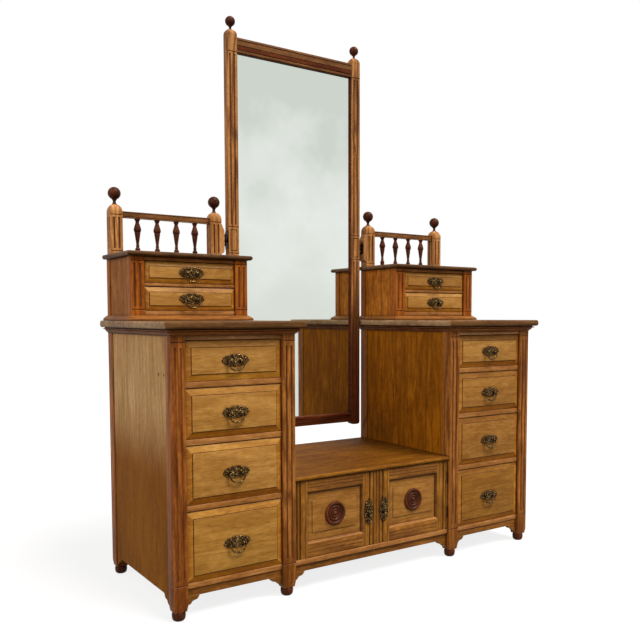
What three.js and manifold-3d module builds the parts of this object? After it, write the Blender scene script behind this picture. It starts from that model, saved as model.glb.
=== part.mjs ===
// Dressing chest: two drawer pedestals, a low cupboard between them, jewel drawers above, a tilting mirror
import * as THREE from 'three';
import { mergeVertices } from 'three/addons/utils/BufferGeometryUtils.js';
import Module from 'manifold-3d';

const wasm = await Module();
wasm.setup();

// Millimetres, floor at z 0, front toward -Y; depths are counted forward from the back plane

// Play between pieces that only rest or slide on each other
const gap = 0.3;
// How far a glued member runs into its neighbour
const bury = 1;

// Pedestals, their drawers counted from the top
const chestWidth = 1500;
const pedestalWidth = 402;
const pedestalDepth = 548;
const topOverhang = 26;
const stileWidth = 43;
const sideRecess = 3;
const sideThickness = 14;
const backThickness = 8;
const backInset = 6;
const plinthHeight = 105;
const bottomRailThickness = 17;
const drawerOpenings = [119, 147, 173, 208];
const railThickness = 18;
const topRailThickness = 13;
const railSetback = 10;
const railDepth = 40;
const apronHeight = 65;
const apronThickness = 16;
const apronSetback = 14;
const bracketWidth = 44;
const bracketHeight = 31;
const runnerWidth = 15;
const guideHeight = 12;

// Feet under the stiles
const legTaperHeight = 46;
const footHeight = 28;
const legTaper = 3;
const footRadius = 20;

// Slab and cornice of each pedestal, going up: height above the carcass, step out from it
const corniceProfile = [
  [0, 3], [4, 3], [6, 5], [9, 7], [12, 12], [15, 15.5], [17, 16], [17, 13], [19, 13],
  [19, 21], [22, 25], [26, 26], [34, 26], [38, 24.5], [41, 21],
];

// Flutes and cut lines of the stiles
const fluteRadius = 3;
const fluteClear = 15;
const sideFluteDrop = 22.5;
const cutLineRadius = 2;
const lowLineDrop = 1;
const highLineDrop = 19;

// Drawers
const frontThickness = 20;
const drawerSetback = 12;
const drawerPlaySide = 0.6;
const drawerPlayTop = 2;
const bevelWidth = 20;
const bevelRise = 6;
const quirkWidth = 1;
const quirkRise = 2;
const boardThickness = 10;
const bottomThickness = 6;
const bottomLift = 4;
const drawerBackClear = 14;
const drawerWallDrop = 6;

// Jewel drawers on the back of each pedestal, counted from the top
const boxDepth = 235;
const boxPlinthHeight = 31;
const boxOpenings = [71, 77.5];
const boxRailThickness = 10;
const boxTopRailThickness = 12.5;
const boxStileDepth = 30;
const boxStileWidth = 43.5;
const boxRailDepth = 25;
const boxRailSetback = 7;
const boxFrontThickness = 16;
const boxDrawerSetback = 9;
const boxBevelWidth = 16;
const boxLowLineRise = 4;
const boxHighLineDrop = 15;
const baseProfile = [[0, 15], [5, 15], [8, 13], [12, 8], [14, 4], [16.2, 2]];
const boxTopProfile = [[0, 9], [2, 12], [5, 14], [10, 14], [13, 12.5], [14.7, 9]];

// Gallery, its heights counted from the jewel box top
const postWidth = 41;
const postBackInset = 0.5;
const outerPostInset = 3;
const postShoulderRise = 148;
const postLineRises = [13, 132];
const galleryRailRise = 125;
const galleryRailHeight = 21;
const galleryRailThickness = 17;
const spindleRadius = 12.5;
const finialRadius = 20.5;
const finialCentreRise = 56.4;
const pivotBlockThickness = 11.5;
const pivotBlockRises = [20, 129];

// Mirror movement, its height counted from the jewel box top
const pivotRise = 73;
const pivotPinRadius = 4;
const pivotPinPlay = 0.6;
const pivotPinDepth = 9;
const pivotPlateHeight = 46;
const pivotPlateDepth = 22;
const pivotPlateThickness = 3;
const pivotReach = 15.7;
const pivotBallRadius = 8;
const pivotNeckRadius = 5;

// Mirror, its drop and its shoulders counted from the pivot, its rails from its feet and shoulders
const mirrorStileWidth = 41;
const mirrorThickness = 28;
const mirrorBackInset = 7;
const mirrorDrop = 716;
const mirrorFootRadius = 10;
const mirrorShoulderRise = 729;
const mirrorTopRailWidth = 52;
const mirrorTopRailDrop = 7;
const mirrorTopLineDrop = 60;
const mirrorBottomRailWidth = 36;
const mirrorBottomRailLift = 12;
const mirrorFinialRadius = 18;
const mirrorFinialRise = 48;
const rebateWidth = 8;
const lipThickness = 11.7;
const glassThickness = 4;
const backBoardThickness = 9.5;
const sightChamfer = 3;
const pivotPanelHeight = 77;
const pivotPanelDepth = 2;
const pivotPanelInset = 8;
const pivotLineOffset = 9;

// Cupboard between the pedestals
const cupboardSetback = 32.5;
const cupboardSide = 16;
const cupboardFloorHeight = 105.5;
const cupboardFloorThickness = 12;
const cupboardOpening = 252.1;
const cupboardRailThickness = 17.5;
const cupboardRailDepth = 41;
const cupboardRailForward = 2;
const cupboardApronSetback = 5;
const cupboardStopRail = 20;
const cupboardTopForward = 8;
const nosingProfile = [[0, 4], [3, 1], [6, 0], [9, 1], [12.9, 4]];

// Doors
const doorThickness = 21;
const doorPlayBehind = 0.5;
const doorPlayBelow = 1;
const doorPlayAbove = 2.1;
const doorMeetingPlay = 1;
const doorHingePlay = 1;
const meetingStripWidth = 23;
const doorGrooveWidth = 7;
const doorGrooveDepth = 4;
const marginStripWidth = 17;
const doorStileWidth = 24;
const doorTopRail = 37;
const doorBottomRail = 45;
const doorOpeningChamfer = 6;
const panelThickness = 9;
const panelSetback = 9;
const panelBevelSide = 17;
const panelBevelEnd = 26;
const panelRise = 4;
const roundelRadius = 38;
const roundelRise = 7;
const hingeSetback = 1.5;
const hingeRadius = 2.2;
const hingeInset = 42;
const hingeLength = 39;
const reedRadius = 1.6;

// Handles
const plateWidth = 88;
const plateRise = 20;
const plateThickness = 2.5;
const postRadius = 3.6;
const postLength = 11;
const postSpacing = 34;
const pinRadius = 1.7;
const pinPlay = 0.6;
const bailRadius = 2.5;
const bailStand = 8;
const bailDrop = 28;
const doorPlateCentre = 30.5;
const doorPlateDrop = 10;
const dropPostRise = 12;
const dropLength = 34;
const dropRadius = 6;

// Turning and rounding steps
const turnedSides = 8;
const fluteSides = 6;
const arcSteps = 5;

// Shares across a stile or rail where flutes and reeds run
const fluteShares = [0.3, 0.7];
const mirrorReedShares = [0.3, 0.5, 0.7];
const doorReedShares = [0.36, 0.62];

// Share of the way from the inner to the outer gallery post at which each spindle stands
const spindlePlaceShares = [0.17, 0.387, 0.605, 0.823];

// How far up each front its handle sits, as a share of the front's height
const handleShares = [0.49, 0.48, 0.48, 0.475];
const boxHandleShares = [0.5, 0.5];

// Where the main planes lie
const halfWidth = chestWidth / 2;
const outer = halfWidth - topOverhang;
const inner = outer - pedestalWidth;
const pedestalCentre = (outer + inner) / 2;
const backPlane = (pedestalDepth + topOverhang) / 2;
const depthAt = (depth) => backPlane - depth;

// Heights that follow from stacking the pieces
const total = (lengths) => lengths.reduce((sum, length) => sum + length, 0);
const stackHeight = (openings, rail) => total(openings) + (openings.length - 1) * rail;
const topOf = (profile) => profile[profile.length - 1][0];
const carcassHeight = plinthHeight + stackHeight(drawerOpenings, railThickness) + topRailThickness;
const slabHeight = carcassHeight + topOf(corniceProfile);
const boxFloorHeight = slabHeight + boxPlinthHeight;
const boxBaseHeight = slabHeight + gap + topOf(baseProfile);
const boxHeight = boxFloorHeight + stackHeight(boxOpenings, boxRailThickness) + boxTopRailThickness;
const boxTopHeight = boxHeight + gap + topOf(boxTopProfile);
const pivotHeight = boxTopHeight + pivotRise;
const mirrorTopRailHigh = pivotHeight + mirrorShoulderRise - mirrorTopRailDrop;
const mirrorTopRail = [mirrorTopRailHigh - mirrorTopRailWidth, mirrorTopRailHigh];
const mirrorBottomRailLow = pivotHeight - mirrorDrop + mirrorBottomRailLift;
const mirrorBottomRail = [mirrorBottomRailLow, mirrorBottomRailLow + mirrorBottomRailWidth];
const pivotDepth = postBackInset + postWidth / 2;
const plateFace = inner - pivotBlockThickness - gap;
const mirrorStileFace = plateFace - pivotPlateThickness - pivotReach;
const mirrorStileCentre = mirrorStileFace - mirrorStileWidth / 2;

// Cupboard and doors between them
const cupboardDepth = pedestalDepth - cupboardSetback;
const cupboardTopUnderside = cupboardFloorHeight + cupboardOpening;
const doorFront = cupboardDepth + doorPlayBehind + doorThickness;
const doorLow = cupboardFloorHeight + doorPlayBelow;
const doorHigh = cupboardTopUnderside - doorPlayAbove;
const doorPlateHeight = (doorLow + doorHigh) / 2 - doorPlateDrop;

// Materials of the real pieces
const paint = (name, color, roughness, metalness) => {
  const material = new THREE.MeshStandardMaterial({ color, roughness, metalness });
  material.name = name;
  return material;
};
const honeyWood = paint('honey_ash', '#a8783f', 0.45, 0);
const frameWood = paint('frame_ash', '#96592a', 0.45, 0);
const topWood = paint('top_ash', '#86603a', 0.4, 0);
const brass = paint('aged_brass', '#6b5733', 0.4, 1);
const silvering = paint('mirror_glass', '#d3dbd6', 0.03, 1);
const backing = paint('backing_pine', '#8a6a45', 0.7, 0);

// A closed solid from points and triangles, turned face out
function closed(points, corners) {
  const at = (i) => new THREE.Vector3(...points[i]);
  let volume = 0;
  for (let i = 0; i < corners.length; i += 3) {
    volume += at(corners[i]).dot(at(corners[i + 1]).cross(at(corners[i + 2])));
  }
  const order = volume < 0 ? [...corners].reverse() : corners;
  return new wasm.Manifold(new wasm.Mesh({
    numProp: 3,
    vertProperties: new Float32Array(points.flat()),
    triVerts: new Uint32Array(order),
  }));
}

// A solid skinned over rings that have the same number of points
function loft(rings) {
  const sides = rings[0].length;
  const last = (rings.length - 1) * sides;
  const corners = [];
  for (let start = 0; start < last; start += sides) {
    for (let i = 0; i < sides; i += 1) {
      const next = (i + 1) % sides;
      corners.push(start + i, start + next, start + sides + next);
      corners.push(start + i, start + sides + next, start + sides + i);
    }
  }
  for (let i = 1; i < sides - 1; i += 1) {
    corners.push(0, i + 1, i, last, last + i, last + i + 1);
  }
  return closed(rings.flat(), corners);
}

const ringAtZ = (z, x0, x1, y0, y1) => [[x0, y0, z], [x1, y0, z], [x1, y1, z], [x0, y1, z]];
const ringAtY = (y, x0, x1, z0, z1) => [[x0, y, z0], [x1, y, z0], [x1, y, z1], [x0, y, z1]];

// A board between two x, two y and two z planes
function board(x0, x1, y0, y1, z0, z1) {
  return loft([ringAtZ(z0, x0, x1, y0, y1), ringAtZ(z1, x0, x1, y0, y1)]);
}

// A board given by its two depths from the back plane
function boardAt(side, x0, x1, depth0, depth1, z0, z1) {
  return board(side * x0, side * x1, depthAt(depth0), depthAt(depth1), z0, z1);
}

function joined(parts) {
  return parts.reduce((whole, part) => whole.add(part));
}

function carved(solid, cutters) {
  return cutters.length > 0 ? solid.subtract(joined(cutters)) : solid;
}

// Three.js geometry as a closed solid
function solidOf(geometry) {
  geometry.deleteAttribute('normal');
  geometry.deleteAttribute('uv');
  const merged = mergeVertices(geometry);
  const place = merged.getAttribute('position');
  const points = Array.from({ length: place.count }, (_, i) => [
    place.getX(i), place.getY(i), place.getZ(i),
  ]);
  const corners = [];
  for (let i = 0; i < merged.index.count; i += 3) {
    const [a, b, c] = [merged.index.getX(i), merged.index.getX(i + 1), merged.index.getX(i + 2)];
    if (a !== b && b !== c && c !== a) {
      corners.push(a, b, c);
    }
  }
  return closed(points, corners);
}

// Flat points in one turning sense, so that outline and holes agree
function flatPoints(outline) {
  const points = outline.map(([u, v]) => new THREE.Vector2(u, v));
  return THREE.ShapeUtils.isClockWise(points) ? points.reverse() : points;
}

// A flat outline in x and z, cut through from one y plane to another
function cutOutFront(outline, holes, yBack, yFront) {
  const shape = new THREE.Shape(flatPoints(outline));
  shape.holes = holes.map((hole) => new THREE.Path(flatPoints(hole).reverse()));
  const geometry = new THREE.ExtrudeGeometry(shape, { depth: yBack - yFront, bevelEnabled: false });
  geometry.rotateX(Math.PI / 2);
  geometry.translate(0, yBack, 0);
  return solidOf(geometry);
}

// A flat outline in y and z, cut through from one x plane to another
function cutOutSide(outline, x0, x1) {
  const shape = new THREE.Shape(flatPoints(outline));
  const depth = Math.abs(x1 - x0);
  const geometry = new THREE.ExtrudeGeometry(shape, { depth, bevelEnabled: false });
  geometry.rotateX(Math.PI / 2);
  geometry.rotateZ(Math.PI / 2);
  geometry.translate(Math.min(x0, x1), 0, 0);
  return solidOf(geometry);
}

// Work turned on a lathe: radius and distance along the axis, then laid along x, -y or z
function turned(profile, axis, at, sides = turnedSides) {
  const geometry = new THREE.LatheGeometry(profile.map(([r, z]) => new THREE.Vector2(r, z)), sides);
  if (axis === 'z') {
    geometry.rotateX(Math.PI / 2);
  }
  if (axis === '-y') {
    geometry.rotateX(Math.PI);
  }
  if (axis === 'x') {
    geometry.rotateZ(-Math.PI / 2);
  }
  geometry.translate(...at);
  return solidOf(geometry);
}

function cylinder(radius, length, axis, at, sides) {
  return turned([[0, 0], [radius, 0], [radius, length], [0, length]], axis, at, sides);
}

// A scoop with rounded ends, laid up a stile
function fluteCutter(x, y, z0, z1, radius = fluteRadius) {
  const profile = [
    [0, z0], [radius * Math.SQRT1_2, z0 + radius * (1 - Math.SQRT1_2)], [radius, z0 + radius],
    [radius, z1 - radius], [radius * Math.SQRT1_2, z1 - radius * (1 - Math.SQRT1_2)], [0, z1],
  ];
  return turned(profile, 'z', [x, y, 0], fluteSides);
}

// Two flutes up the front of a stile, between two heights
function frontFlutes(x0, x1, y, z0, z1) {
  return fluteShares.map((share) => fluteCutter(x0 + share * (x1 - x0), y, z0, z1));
}

// Two flutes up a side face
function sideFlutes(x, y0, y1, z0, z1) {
  return fluteShares.map((share) => fluteCutter(x, y0 + share * (y1 - y0), z0, z1));
}

// A V line cut across a front face
function frontLine(x0, x1, y, z, radius = cutLineRadius) {
  const outline = [[y - radius, z], [y, z - radius], [y + radius, z], [y, z + radius]];
  return cutOutSide(outline, Math.min(x0, x1) - radius, Math.max(x0, x1) + radius);
}

// A round reed groove across a front face, stopping short of its ends
function reedGroove(x0, x1, y, z) {
  const profile = [
    [0, x0], [reedRadius, x0 + reedRadius], [reedRadius, x1 - reedRadius], [0, x1],
  ];
  return turned(profile, 'x', [0, y, z], fluteSides);
}

// A stack of mitred rectangles: flush at the back, stepping out at the front and both ends
function mouldedSlab(x0, x1, frontDepth, z, profile) {
  return loft(profile.map(([up, out]) => ringAtZ(
    z + up, Math.min(x0, x1) - out, Math.max(x0, x1) + out, depthAt(frontDepth + out), backPlane,
  )));
}

// Outline of a cusped corner bracket, from the leg outward; shares of its width and height
const bracketShares = [
  [0, 0], [0.14, 0.18], [0.32, 0.24], [0.4, 0.42], [0.48, 0.54], [0.76, 0.64], [0.86, 0.8], [1, 1],
];

function bracketOutline(from, direction, top) {
  const curve = bracketShares.map(([along, up]) => [
    from + direction * along * bracketWidth, top - bracketHeight + up * bracketHeight,
  ]);
  const end = from + direction * bracketWidth;
  const root = from - direction * bury;
  return [[root, top - bracketHeight], ...curve, [end, top + bury], [root, top + bury]];
}

// Tops of the rails of a stack of drawers, counted from the highest opening
function railTopsOf(openings, floor, rail) {
  return openings.map((_, i) => floor + total(openings.slice(i + 1).map((open) => open + rail)));
}

// Bun foot going up: shares of its radius and height
const footShares = [[0.6, 0], [0.9, 0.24], [1, 0.5], [0.72, 0.92]];

// A square stile that runs down into a tapered leg and a bun foot
function stileWithFoot(side, x0, x1, depth0, depth1) {
  const middleX = side * (x0 + x1) / 2;
  const middleY = depthAt((depth0 + depth1) / 2);
  const ring = (z, inset) => ringAtZ(
    z, side * x0 + side * inset, side * x1 - side * inset, depthAt(depth0) - inset, depthAt(depth1) + inset,
  );
  const stile = loft([ring(footHeight, legTaper), ring(legTaperHeight, 0), ring(carcassHeight, 0)]);
  const bun = footShares.map(([wide, up]) => [wide * footRadius, up * footHeight]);
  const neck = bun[bun.length - 1][0];
  const profile = [[0, 0], ...bun, [neck, footHeight + bury], [0, footHeight + bury]];
  const foot = turned(profile, 'z', [middleX, middleY, 0]);
  return stile.add(foot);
}

// Pedestal carcass: four stiles with feet, panelled sides, back, drawer rails and runners
function pedestalCarcass(side) {
  const frontStileBack = pedestalDepth - stileWidth;
  const parts = [];
  for (const [x0, x1] of [[inner, inner + stileWidth], [outer - stileWidth, outer]]) {
    parts.push(stileWithFoot(side, x0, x1, frontStileBack, pedestalDepth));
    parts.push(stileWithFoot(side, x0, x1, 0, stileWidth));
  }
  for (const [face, into] of [[outer, -1], [inner, 1]]) {
    const x0 = face + into * sideRecess;
    const x1 = x0 + into * sideThickness;
    parts.push(boardAt(side, x0, x1, stileWidth - bury, frontStileBack + bury, apronHeight, carcassHeight));
    for (const [depth, forward] of [[stileWidth, 1], [frontStileBack, -1]]) {
      const outline = bracketOutline(depth, forward, apronHeight);
      parts.push(cutOutSide(outline.map(([d, z]) => [depthAt(d), z]), side * x0, side * x1));
    }
  }
  const openLeft = inner + stileWidth;
  const openRight = outer - stileWidth;
  const railFront = pedestalDepth - railSetback;
  const railTops = railTopsOf(drawerOpenings, plinthHeight, railThickness);
  const thicknessOf = (top) => (top > plinthHeight ? railThickness : bottomRailThickness);
  const rails = railTops.map((top) => [top - thicknessOf(top), top]);
  for (const [z0, z1] of [...rails, [carcassHeight - topRailThickness, carcassHeight]]) {
    parts.push(boardAt(side, openLeft - bury, openRight + bury, railFront - railDepth, railFront, z0, z1));
  }
  const panelInside = sideRecess + sideThickness - bury;
  for (const top of railTops) {
    for (const [wall, into] of [[inner + panelInside, 1], [outer - panelInside, -1]]) {
      const guide = into > 0 ? openLeft - gap : openRight + gap;
      const bearing = into > 0 ? openLeft + runnerWidth : openRight - runnerWidth;
      const outline = [
        [wall, top - railThickness], [bearing, top - railThickness], [bearing, top],
        [guide, top], [guide, top + guideHeight], [wall, top + guideHeight],
      ];
      parts.push(cutOutFront(
        outline.map(([x, z]) => [side * x, z]), [],
        depthAt(stileWidth - bury), depthAt(frontStileBack + bury),
      ));
    }
  }
  const apronFront = pedestalDepth - apronSetback;
  const apronBack = apronFront - apronThickness;
  const apronTop = plinthHeight - bottomRailThickness + bury;
  parts.push(boardAt(
    side, openLeft - bury, openRight + bury, apronBack, apronFront, apronHeight, apronTop,
  ));
  for (const [x, along] of [[openLeft, 1], [openRight, -1]]) {
    const outline = bracketOutline(x, along, apronHeight);
    parts.push(cutOutFront(
      outline.map(([u, z]) => [side * u, z]), [], depthAt(apronBack), depthAt(apronFront),
    ));
  }
  parts.push(boardAt(
    side, openLeft - bury, openRight + bury, backInset, backInset + backThickness,
    apronHeight, carcassHeight,
  ));
  const face = depthAt(pedestalDepth);
  const lowLine = plinthHeight - lowLineDrop;
  const highLine = carcassHeight - highLineDrop;
  const cutters = [];
  for (const x0 of [inner, openRight]) {
    const x1 = x0 + stileWidth;
    cutters.push(...frontFlutes(side * x0, side * x1, face, lowLine + fluteClear, highLine - fluteClear));
    for (const z of [lowLine, highLine]) {
      cutters.push(frontLine(side * x0, side * x1, face, z));
    }
  }
  return carved(joined(parts), cutters);
}

function pedestalTop(side) {
  const profile = corniceProfile.map(([up, out], i) => [i === 0 ? gap : up, out]);
  return mouldedSlab(side * inner, side * outer, pedestalDepth, carcassHeight, profile);
}

// A drawer: raised and bevelled front, two sides, back and bottom, open above
function drawer(centreX, width, z0, z1, plane, thickness, bevel, backDepth) {
  const x0 = centreX - width / 2;
  const x1 = centreX + width / 2;
  const ring = (depth, inset) => ringAtY(depthAt(depth), x0 + inset, x1 - inset, z0 + inset, z1 - inset);
  const front = loft([
    ring(plane - thickness, 0), ring(plane, 0), ring(plane + bevelRise, bevel),
    ring(plane + bevelRise + quirkRise, bevel + quirkWidth),
  ]);
  const boxFront = depthAt(plane - thickness + bury);
  const boxBack = depthAt(backDepth);
  const wallTop = z1 - drawerWallDrop;
  const bottomTop = z0 + bottomLift + bottomThickness;
  return joined([
    front,
    board(x0, x0 + boardThickness, boxFront, boxBack, z0, wallTop),
    board(x1 - boardThickness, x1, boxFront, boxBack, z0, wallTop),
    board(x0 + boardThickness - bury, x1 - boardThickness + bury, boxBack - boardThickness, boxBack,
      z0 + bottomLift, wallTop),
    board(x0 + boardThickness - bury, x1 - boardThickness + bury, boxFront, boxBack - bury,
      z0 + bottomLift, bottomTop),
  ]);
}

// Where every drawer sits: floor and ceiling of its opening, depth of its parts
function drawerSlots() {
  const slots = [];
  const addStack = (stack, openings, floor, rail, handleAt, values) => {
    railTopsOf(openings, floor, rail).forEach((top, i) => {
      const z1 = top + openings[i] - drawerPlayTop;
      slots.push({ ...values, name: `${stack}_${i + 1}`, z0: top + gap, z1, handleShare: handleAt[i] });
    });
  };
  const backDepth = backInset + backThickness + drawerBackClear;
  for (const [word, side] of [['left', -1], ['right', 1]]) {
    addStack(`drawer_${word}`, drawerOpenings, plinthHeight, railThickness, handleShares, {
      side, width: pedestalWidth - 2 * (stileWidth + drawerPlaySide), plane: pedestalDepth - drawerSetback,
      thickness: frontThickness, bevel: bevelWidth, backDepth,
    });
    addStack(`jewel_drawer_${word}`, boxOpenings, boxFloorHeight, boxRailThickness, boxHandleShares, {
      side, width: pedestalWidth - 2 * (boxStileWidth + drawerPlaySide), plane: boxDepth - boxDrawerSetback,
      thickness: boxFrontThickness, bevel: boxBevelWidth, backDepth,
    });
  }
  return slots;
}

// Pierced plate, right half of the outline going down from the top; shares of half width and rise
const plateShares = [
  [0.25, 0.95], [0.4, 0.8], [0.52, 0.56], [0.68, 0.74], [0.8, 0.4], [1, 0.02], [0.79, -0.36],
  [0.67, -0.6], [0.56, -0.42], [0.42, -0.7], [0.22, -0.64],
];
const plateMiddleShares = [1, -0.86];
const pierceShares = [
  [[0.2, 0.28], [0.34, 0.22], [0.34, 0.5], [0.24, 0.7]],
  [[0.62, 0.05], [0.7, 0.3], [0.82, 0.03], [0.7, -0.24]],
];

function plateOutline() {
  const place = ([u, v]) => [u * plateWidth / 2, v * plateRise];
  const right = plateShares.map(place);
  const left = plateShares.map(([u, v]) => place([-u, v])).reverse();
  const [top, bottom] = plateMiddleShares.map((share) => [0, share * plateRise]);
  const holes = pierceShares.flatMap((shares) => [
    shares.map(place), shares.map(([u, v]) => place([-u, v])),
  ]);
  return { outline: [top, ...right, bottom, ...left], holes };
}

// Drawer plate with two bored posts for the bail
function handlePlate(x, z, faceY) {
  const { outline, holes } = plateOutline();
  const move = (points) => points.map(([u, v]) => [x + u, z + v]);
  const back = faceY - gap;
  const plate = cutOutFront(move(outline), holes.map(move), back, back - plateThickness);
  const posts = [-1, 1].map((end) => cylinder(
    postRadius, postLength + bury, '-y',
    [x + end * postSpacing / 2, back - plateThickness + bury, z], fluteSides,
  ));
  const reach = postSpacing / 2 + 2 * postRadius;
  const bore = cylinder(
    pinRadius + pinPlay, 2 * reach, 'x', [x - reach, back - plateThickness - bailStand, z], fluteSides,
  );
  return joined([plate, ...posts]).subtract(bore);
}

// Rod bent in an upright plane: its points in x and z, and its radius at each
function bentRod(points, y, sides) {
  const rings = points.map(([px, pz, radius], i) => {
    const before = points[Math.max(i - 1, 0)];
    const after = points[Math.min(i + 1, points.length - 1)];
    const into = new THREE.Vector2(px - before[0], pz - before[1]).normalize();
    const out = new THREE.Vector2(after[0] - px, after[1] - pz).normalize();
    const along = into.clone().add(out).normalize();
    const stretch = 1 / Math.max(along.dot(i === 0 ? out : into), Math.SQRT1_2);
    return Array.from({ length: sides }, (_, k) => {
      const turn = (2 * Math.PI * k) / sides;
      const across = radius * stretch * Math.cos(turn);
      return [px - along.y * across, y + radius * Math.sin(turn), pz + along.x * across];
    });
  });
  return loft(rings);
}

// Half of the bail from its pin to its lowest point; shares of its half width and of its drop
const bailShares = [[1, 0], [1.02, 0.3], [0.9, 0.62], [0.57, 0.9], [0.19, 1]];

// D-shaped pull that hangs from the two posts by turned-in pins
function bail(x, z, faceY) {
  const half = postSpacing / 2;
  const reach = half + postRadius + gap + bailRadius;
  const y = faceY - gap - plateThickness - bailStand;
  const place = (direction) => ([u, v]) => [x + direction * u * reach, z - v * bailDrop, bailRadius];
  const pinEnd = (direction) => [
    [x + direction * (half - postRadius), z, pinRadius],
    [x + direction * (half + postRadius + gap), z, pinRadius],
  ];
  const points = [
    ...pinEnd(-1), ...bailShares.map(place(-1)),
    ...bailShares.map(place(1)).reverse(), ...pinEnd(1).reverse(),
  ];
  return bentRod(points, y, fluteSides);
}

// Upright door plate with one bored post for the drop
function doorPlate(side) {
  const { outline, holes } = plateOutline();
  const x = side * doorPlateCentre;
  const back = depthAt(doorFront) - gap;
  const place = (points) => points.map(([u, v]) => [x + side * v, doorPlateHeight + u]);
  const plate = cutOutFront(place(outline), holes.map(place), back, back - plateThickness);
  const z = doorPlateHeight + dropPostRise;
  const root = [x, back - plateThickness + bury, z];
  const post = cylinder(postRadius, postLength + bury, '-y', root, fluteSides);
  const reach = 2 * postRadius;
  const bore = cylinder(
    pinRadius + pinPlay, 2 * reach, 'x', [x - reach, back - plateThickness - bailStand, z], fluteSides,
  );
  return plate.add(post).subtract(bore);
}

// Stirrup of the drop pull going down one side: shares of its half width and of the drop's length
const stirrupShares = [[1, 0.2], [0.7, 0.45]];

// Pendant going up: shares of its radius and of the drop's length
const pendantShares = [[0.4, 0.97], [0.45, 0.9], [1, 0.76], [0.85, 0.6], [0.4, 0.44]];
const pendantTopShare = 0.42;

// Drop pull: a stirrup over the post that ends in a turned pendant
function doorDrop(side) {
  const x = side * doorPlateCentre;
  const z = doorPlateHeight + dropPostRise;
  const y = depthAt(doorFront) - gap - plateThickness - bailStand;
  const reach = postRadius + gap + bailRadius;
  const arm = (direction) => [
    [x + direction * reach, z + pinRadius, pinRadius],
    ...stirrupShares.map(([along, down]) => [
      x + direction * along * reach, z - down * dropLength, pinRadius,
    ]),
  ];
  const pin = cylinder(pinRadius, 2 * reach, 'x', [x - reach, y, z], fluteSides);
  const swelling = pendantShares.map(([wide, down]) => [wide * dropRadius, -down * dropLength]);
  const profile = [[0, -dropLength], ...swelling, [0, -pendantTopShare * dropLength]];
  const pendant = turned(profile, 'z', [x, y, z]);
  return joined([bentRod([...arm(-1), ...arm(1).reverse()], y, fluteSides), pin, pendant]);
}

// Jewel box carcass on its moulded base, open in front for two drawers
function jewelBox(side) {
  const z0 = slabHeight + gap;
  const base = mouldedSlab(side * inner, side * outer, boxDepth, z0, baseProfile);
  const openLeft = inner + boxStileWidth;
  const openRight = outer - boxStileWidth;
  const low = boxBaseHeight - bury;
  const railTops = railTopsOf(boxOpenings, boxFloorHeight, boxRailThickness);
  const parts = [base];
  for (const [x0, x1] of [[inner, openLeft], [openRight, outer]]) {
    parts.push(boardAt(side, x0, x1, boxDepth - boxStileDepth, boxDepth, low, boxHeight));
    parts.push(boardAt(side, x0, x1, 0, boxStileDepth, low, boxHeight));
  }
  for (const [face, into] of [[outer, -1], [inner, 1]]) {
    const x0 = face + into * sideRecess;
    const x1 = face + into * boxStileWidth;
    parts.push(boardAt(side, x0, x0 + into * sideThickness, boxStileDepth - bury,
      boxDepth - boxStileDepth + bury, low, boxHeight));
    for (const top of railTops) {
      parts.push(boardAt(side, x0 + into * sideThickness - into * bury, x1 + into * boardThickness,
        boxStileDepth - bury, boxDepth - boxStileDepth + bury, top - boxRailThickness, top));
    }
  }
  const railFront = boxDepth - boxRailSetback;
  const rails = railTops.map((top) => [top > boxFloorHeight ? top - boxRailThickness : low, top]);
  for (const [from, to] of [...rails, [boxHeight - boxTopRailThickness, boxHeight]]) {
    parts.push(boardAt(
      side, openLeft - bury, openRight + bury, railFront - boxRailDepth, railFront, from, to,
    ));
  }
  parts.push(boardAt(side, openLeft - bury, openRight + bury, backInset, backInset + backThickness,
    low, boxHeight));
  const cutters = [];
  const face = depthAt(boxDepth);
  const lowLine = boxFloorHeight + boxLowLineRise;
  const highLine = boxHeight - boxHighLineDrop;
  const clear = fluteClear / 2;
  for (const x0 of [inner, openRight]) {
    const x1 = x0 + boxStileWidth;
    cutters.push(...frontFlutes(side * x0, side * x1, face, lowLine + clear, highLine - clear));
    for (const z of [lowLine, highLine]) {
      cutters.push(frontLine(side * x0, side * x1, face, z));
    }
  }
  return carved(joined(parts), cutters);
}

function jewelBoxTop(side) {
  return mouldedSlab(side * inner, side * outer, boxDepth, boxHeight + gap, boxTopProfile);
}

// A square post whose top is arched both ways
function archedPost(x0, x1, y0, y1, z0, shoulder) {
  const arch = (a0, a1) => {
    const radius = Math.abs(a1 - a0) / 2;
    const middle = (a0 + a1) / 2;
    const curve = Array.from({ length: arcSteps + 1 }, (_, i) => {
      const turn = (Math.PI * i) / arcSteps;
      return [middle + radius * Math.cos(turn), shoulder + radius * Math.sin(turn)];
    });
    return [[middle - radius, z0], [middle + radius, z0], ...curve];
  };
  const across = cutOutFront(arch(x0, x1), [], Math.max(y0, y1), Math.min(y0, y1));
  const fore = arch(y0, y1);
  const high = shoulder + Math.abs(x1 - x0) / 2;
  const rise = Math.abs(x1 - x0) / Math.abs(y1 - y0);
  const stretched = fore.map(([y, z]) => [y, z > shoulder ? shoulder + (z - shoulder) * rise : z]);
  return across.intersect(cutOutSide(stretched, x0, x1)).intersect(board(x0, x1, y0, y1, z0, high));
}

// Neck of a ball finial going up: shares of the ball's radius, outward and from its centre
const neckShares = [[0.36, -1.3], [0.54, -1.12]];

// Where the ball leaves its neck, as a share of half a turn below its widest line
const ballStartShare = 0.38;

// A turned ball on a neck that stands on a post top
function ballFinial(x, y, radius, centre, foot) {
  const start = -Math.PI * ballStartShare;
  const neck = neckShares.map(([out, up]) => [out * radius, centre + up * radius]);
  const ball = Array.from({ length: arcSteps }, (_, i) => {
    const turn = start + ((Math.PI / 2 - start) * i) / arcSteps;
    return [radius * Math.cos(turn), centre + radius * Math.sin(turn)];
  });
  return turned([[0, foot], [neck[0][0], foot], ...neck, ...ball, [0, centre + radius]], 'z', [x, y, 0]);
}

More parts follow.
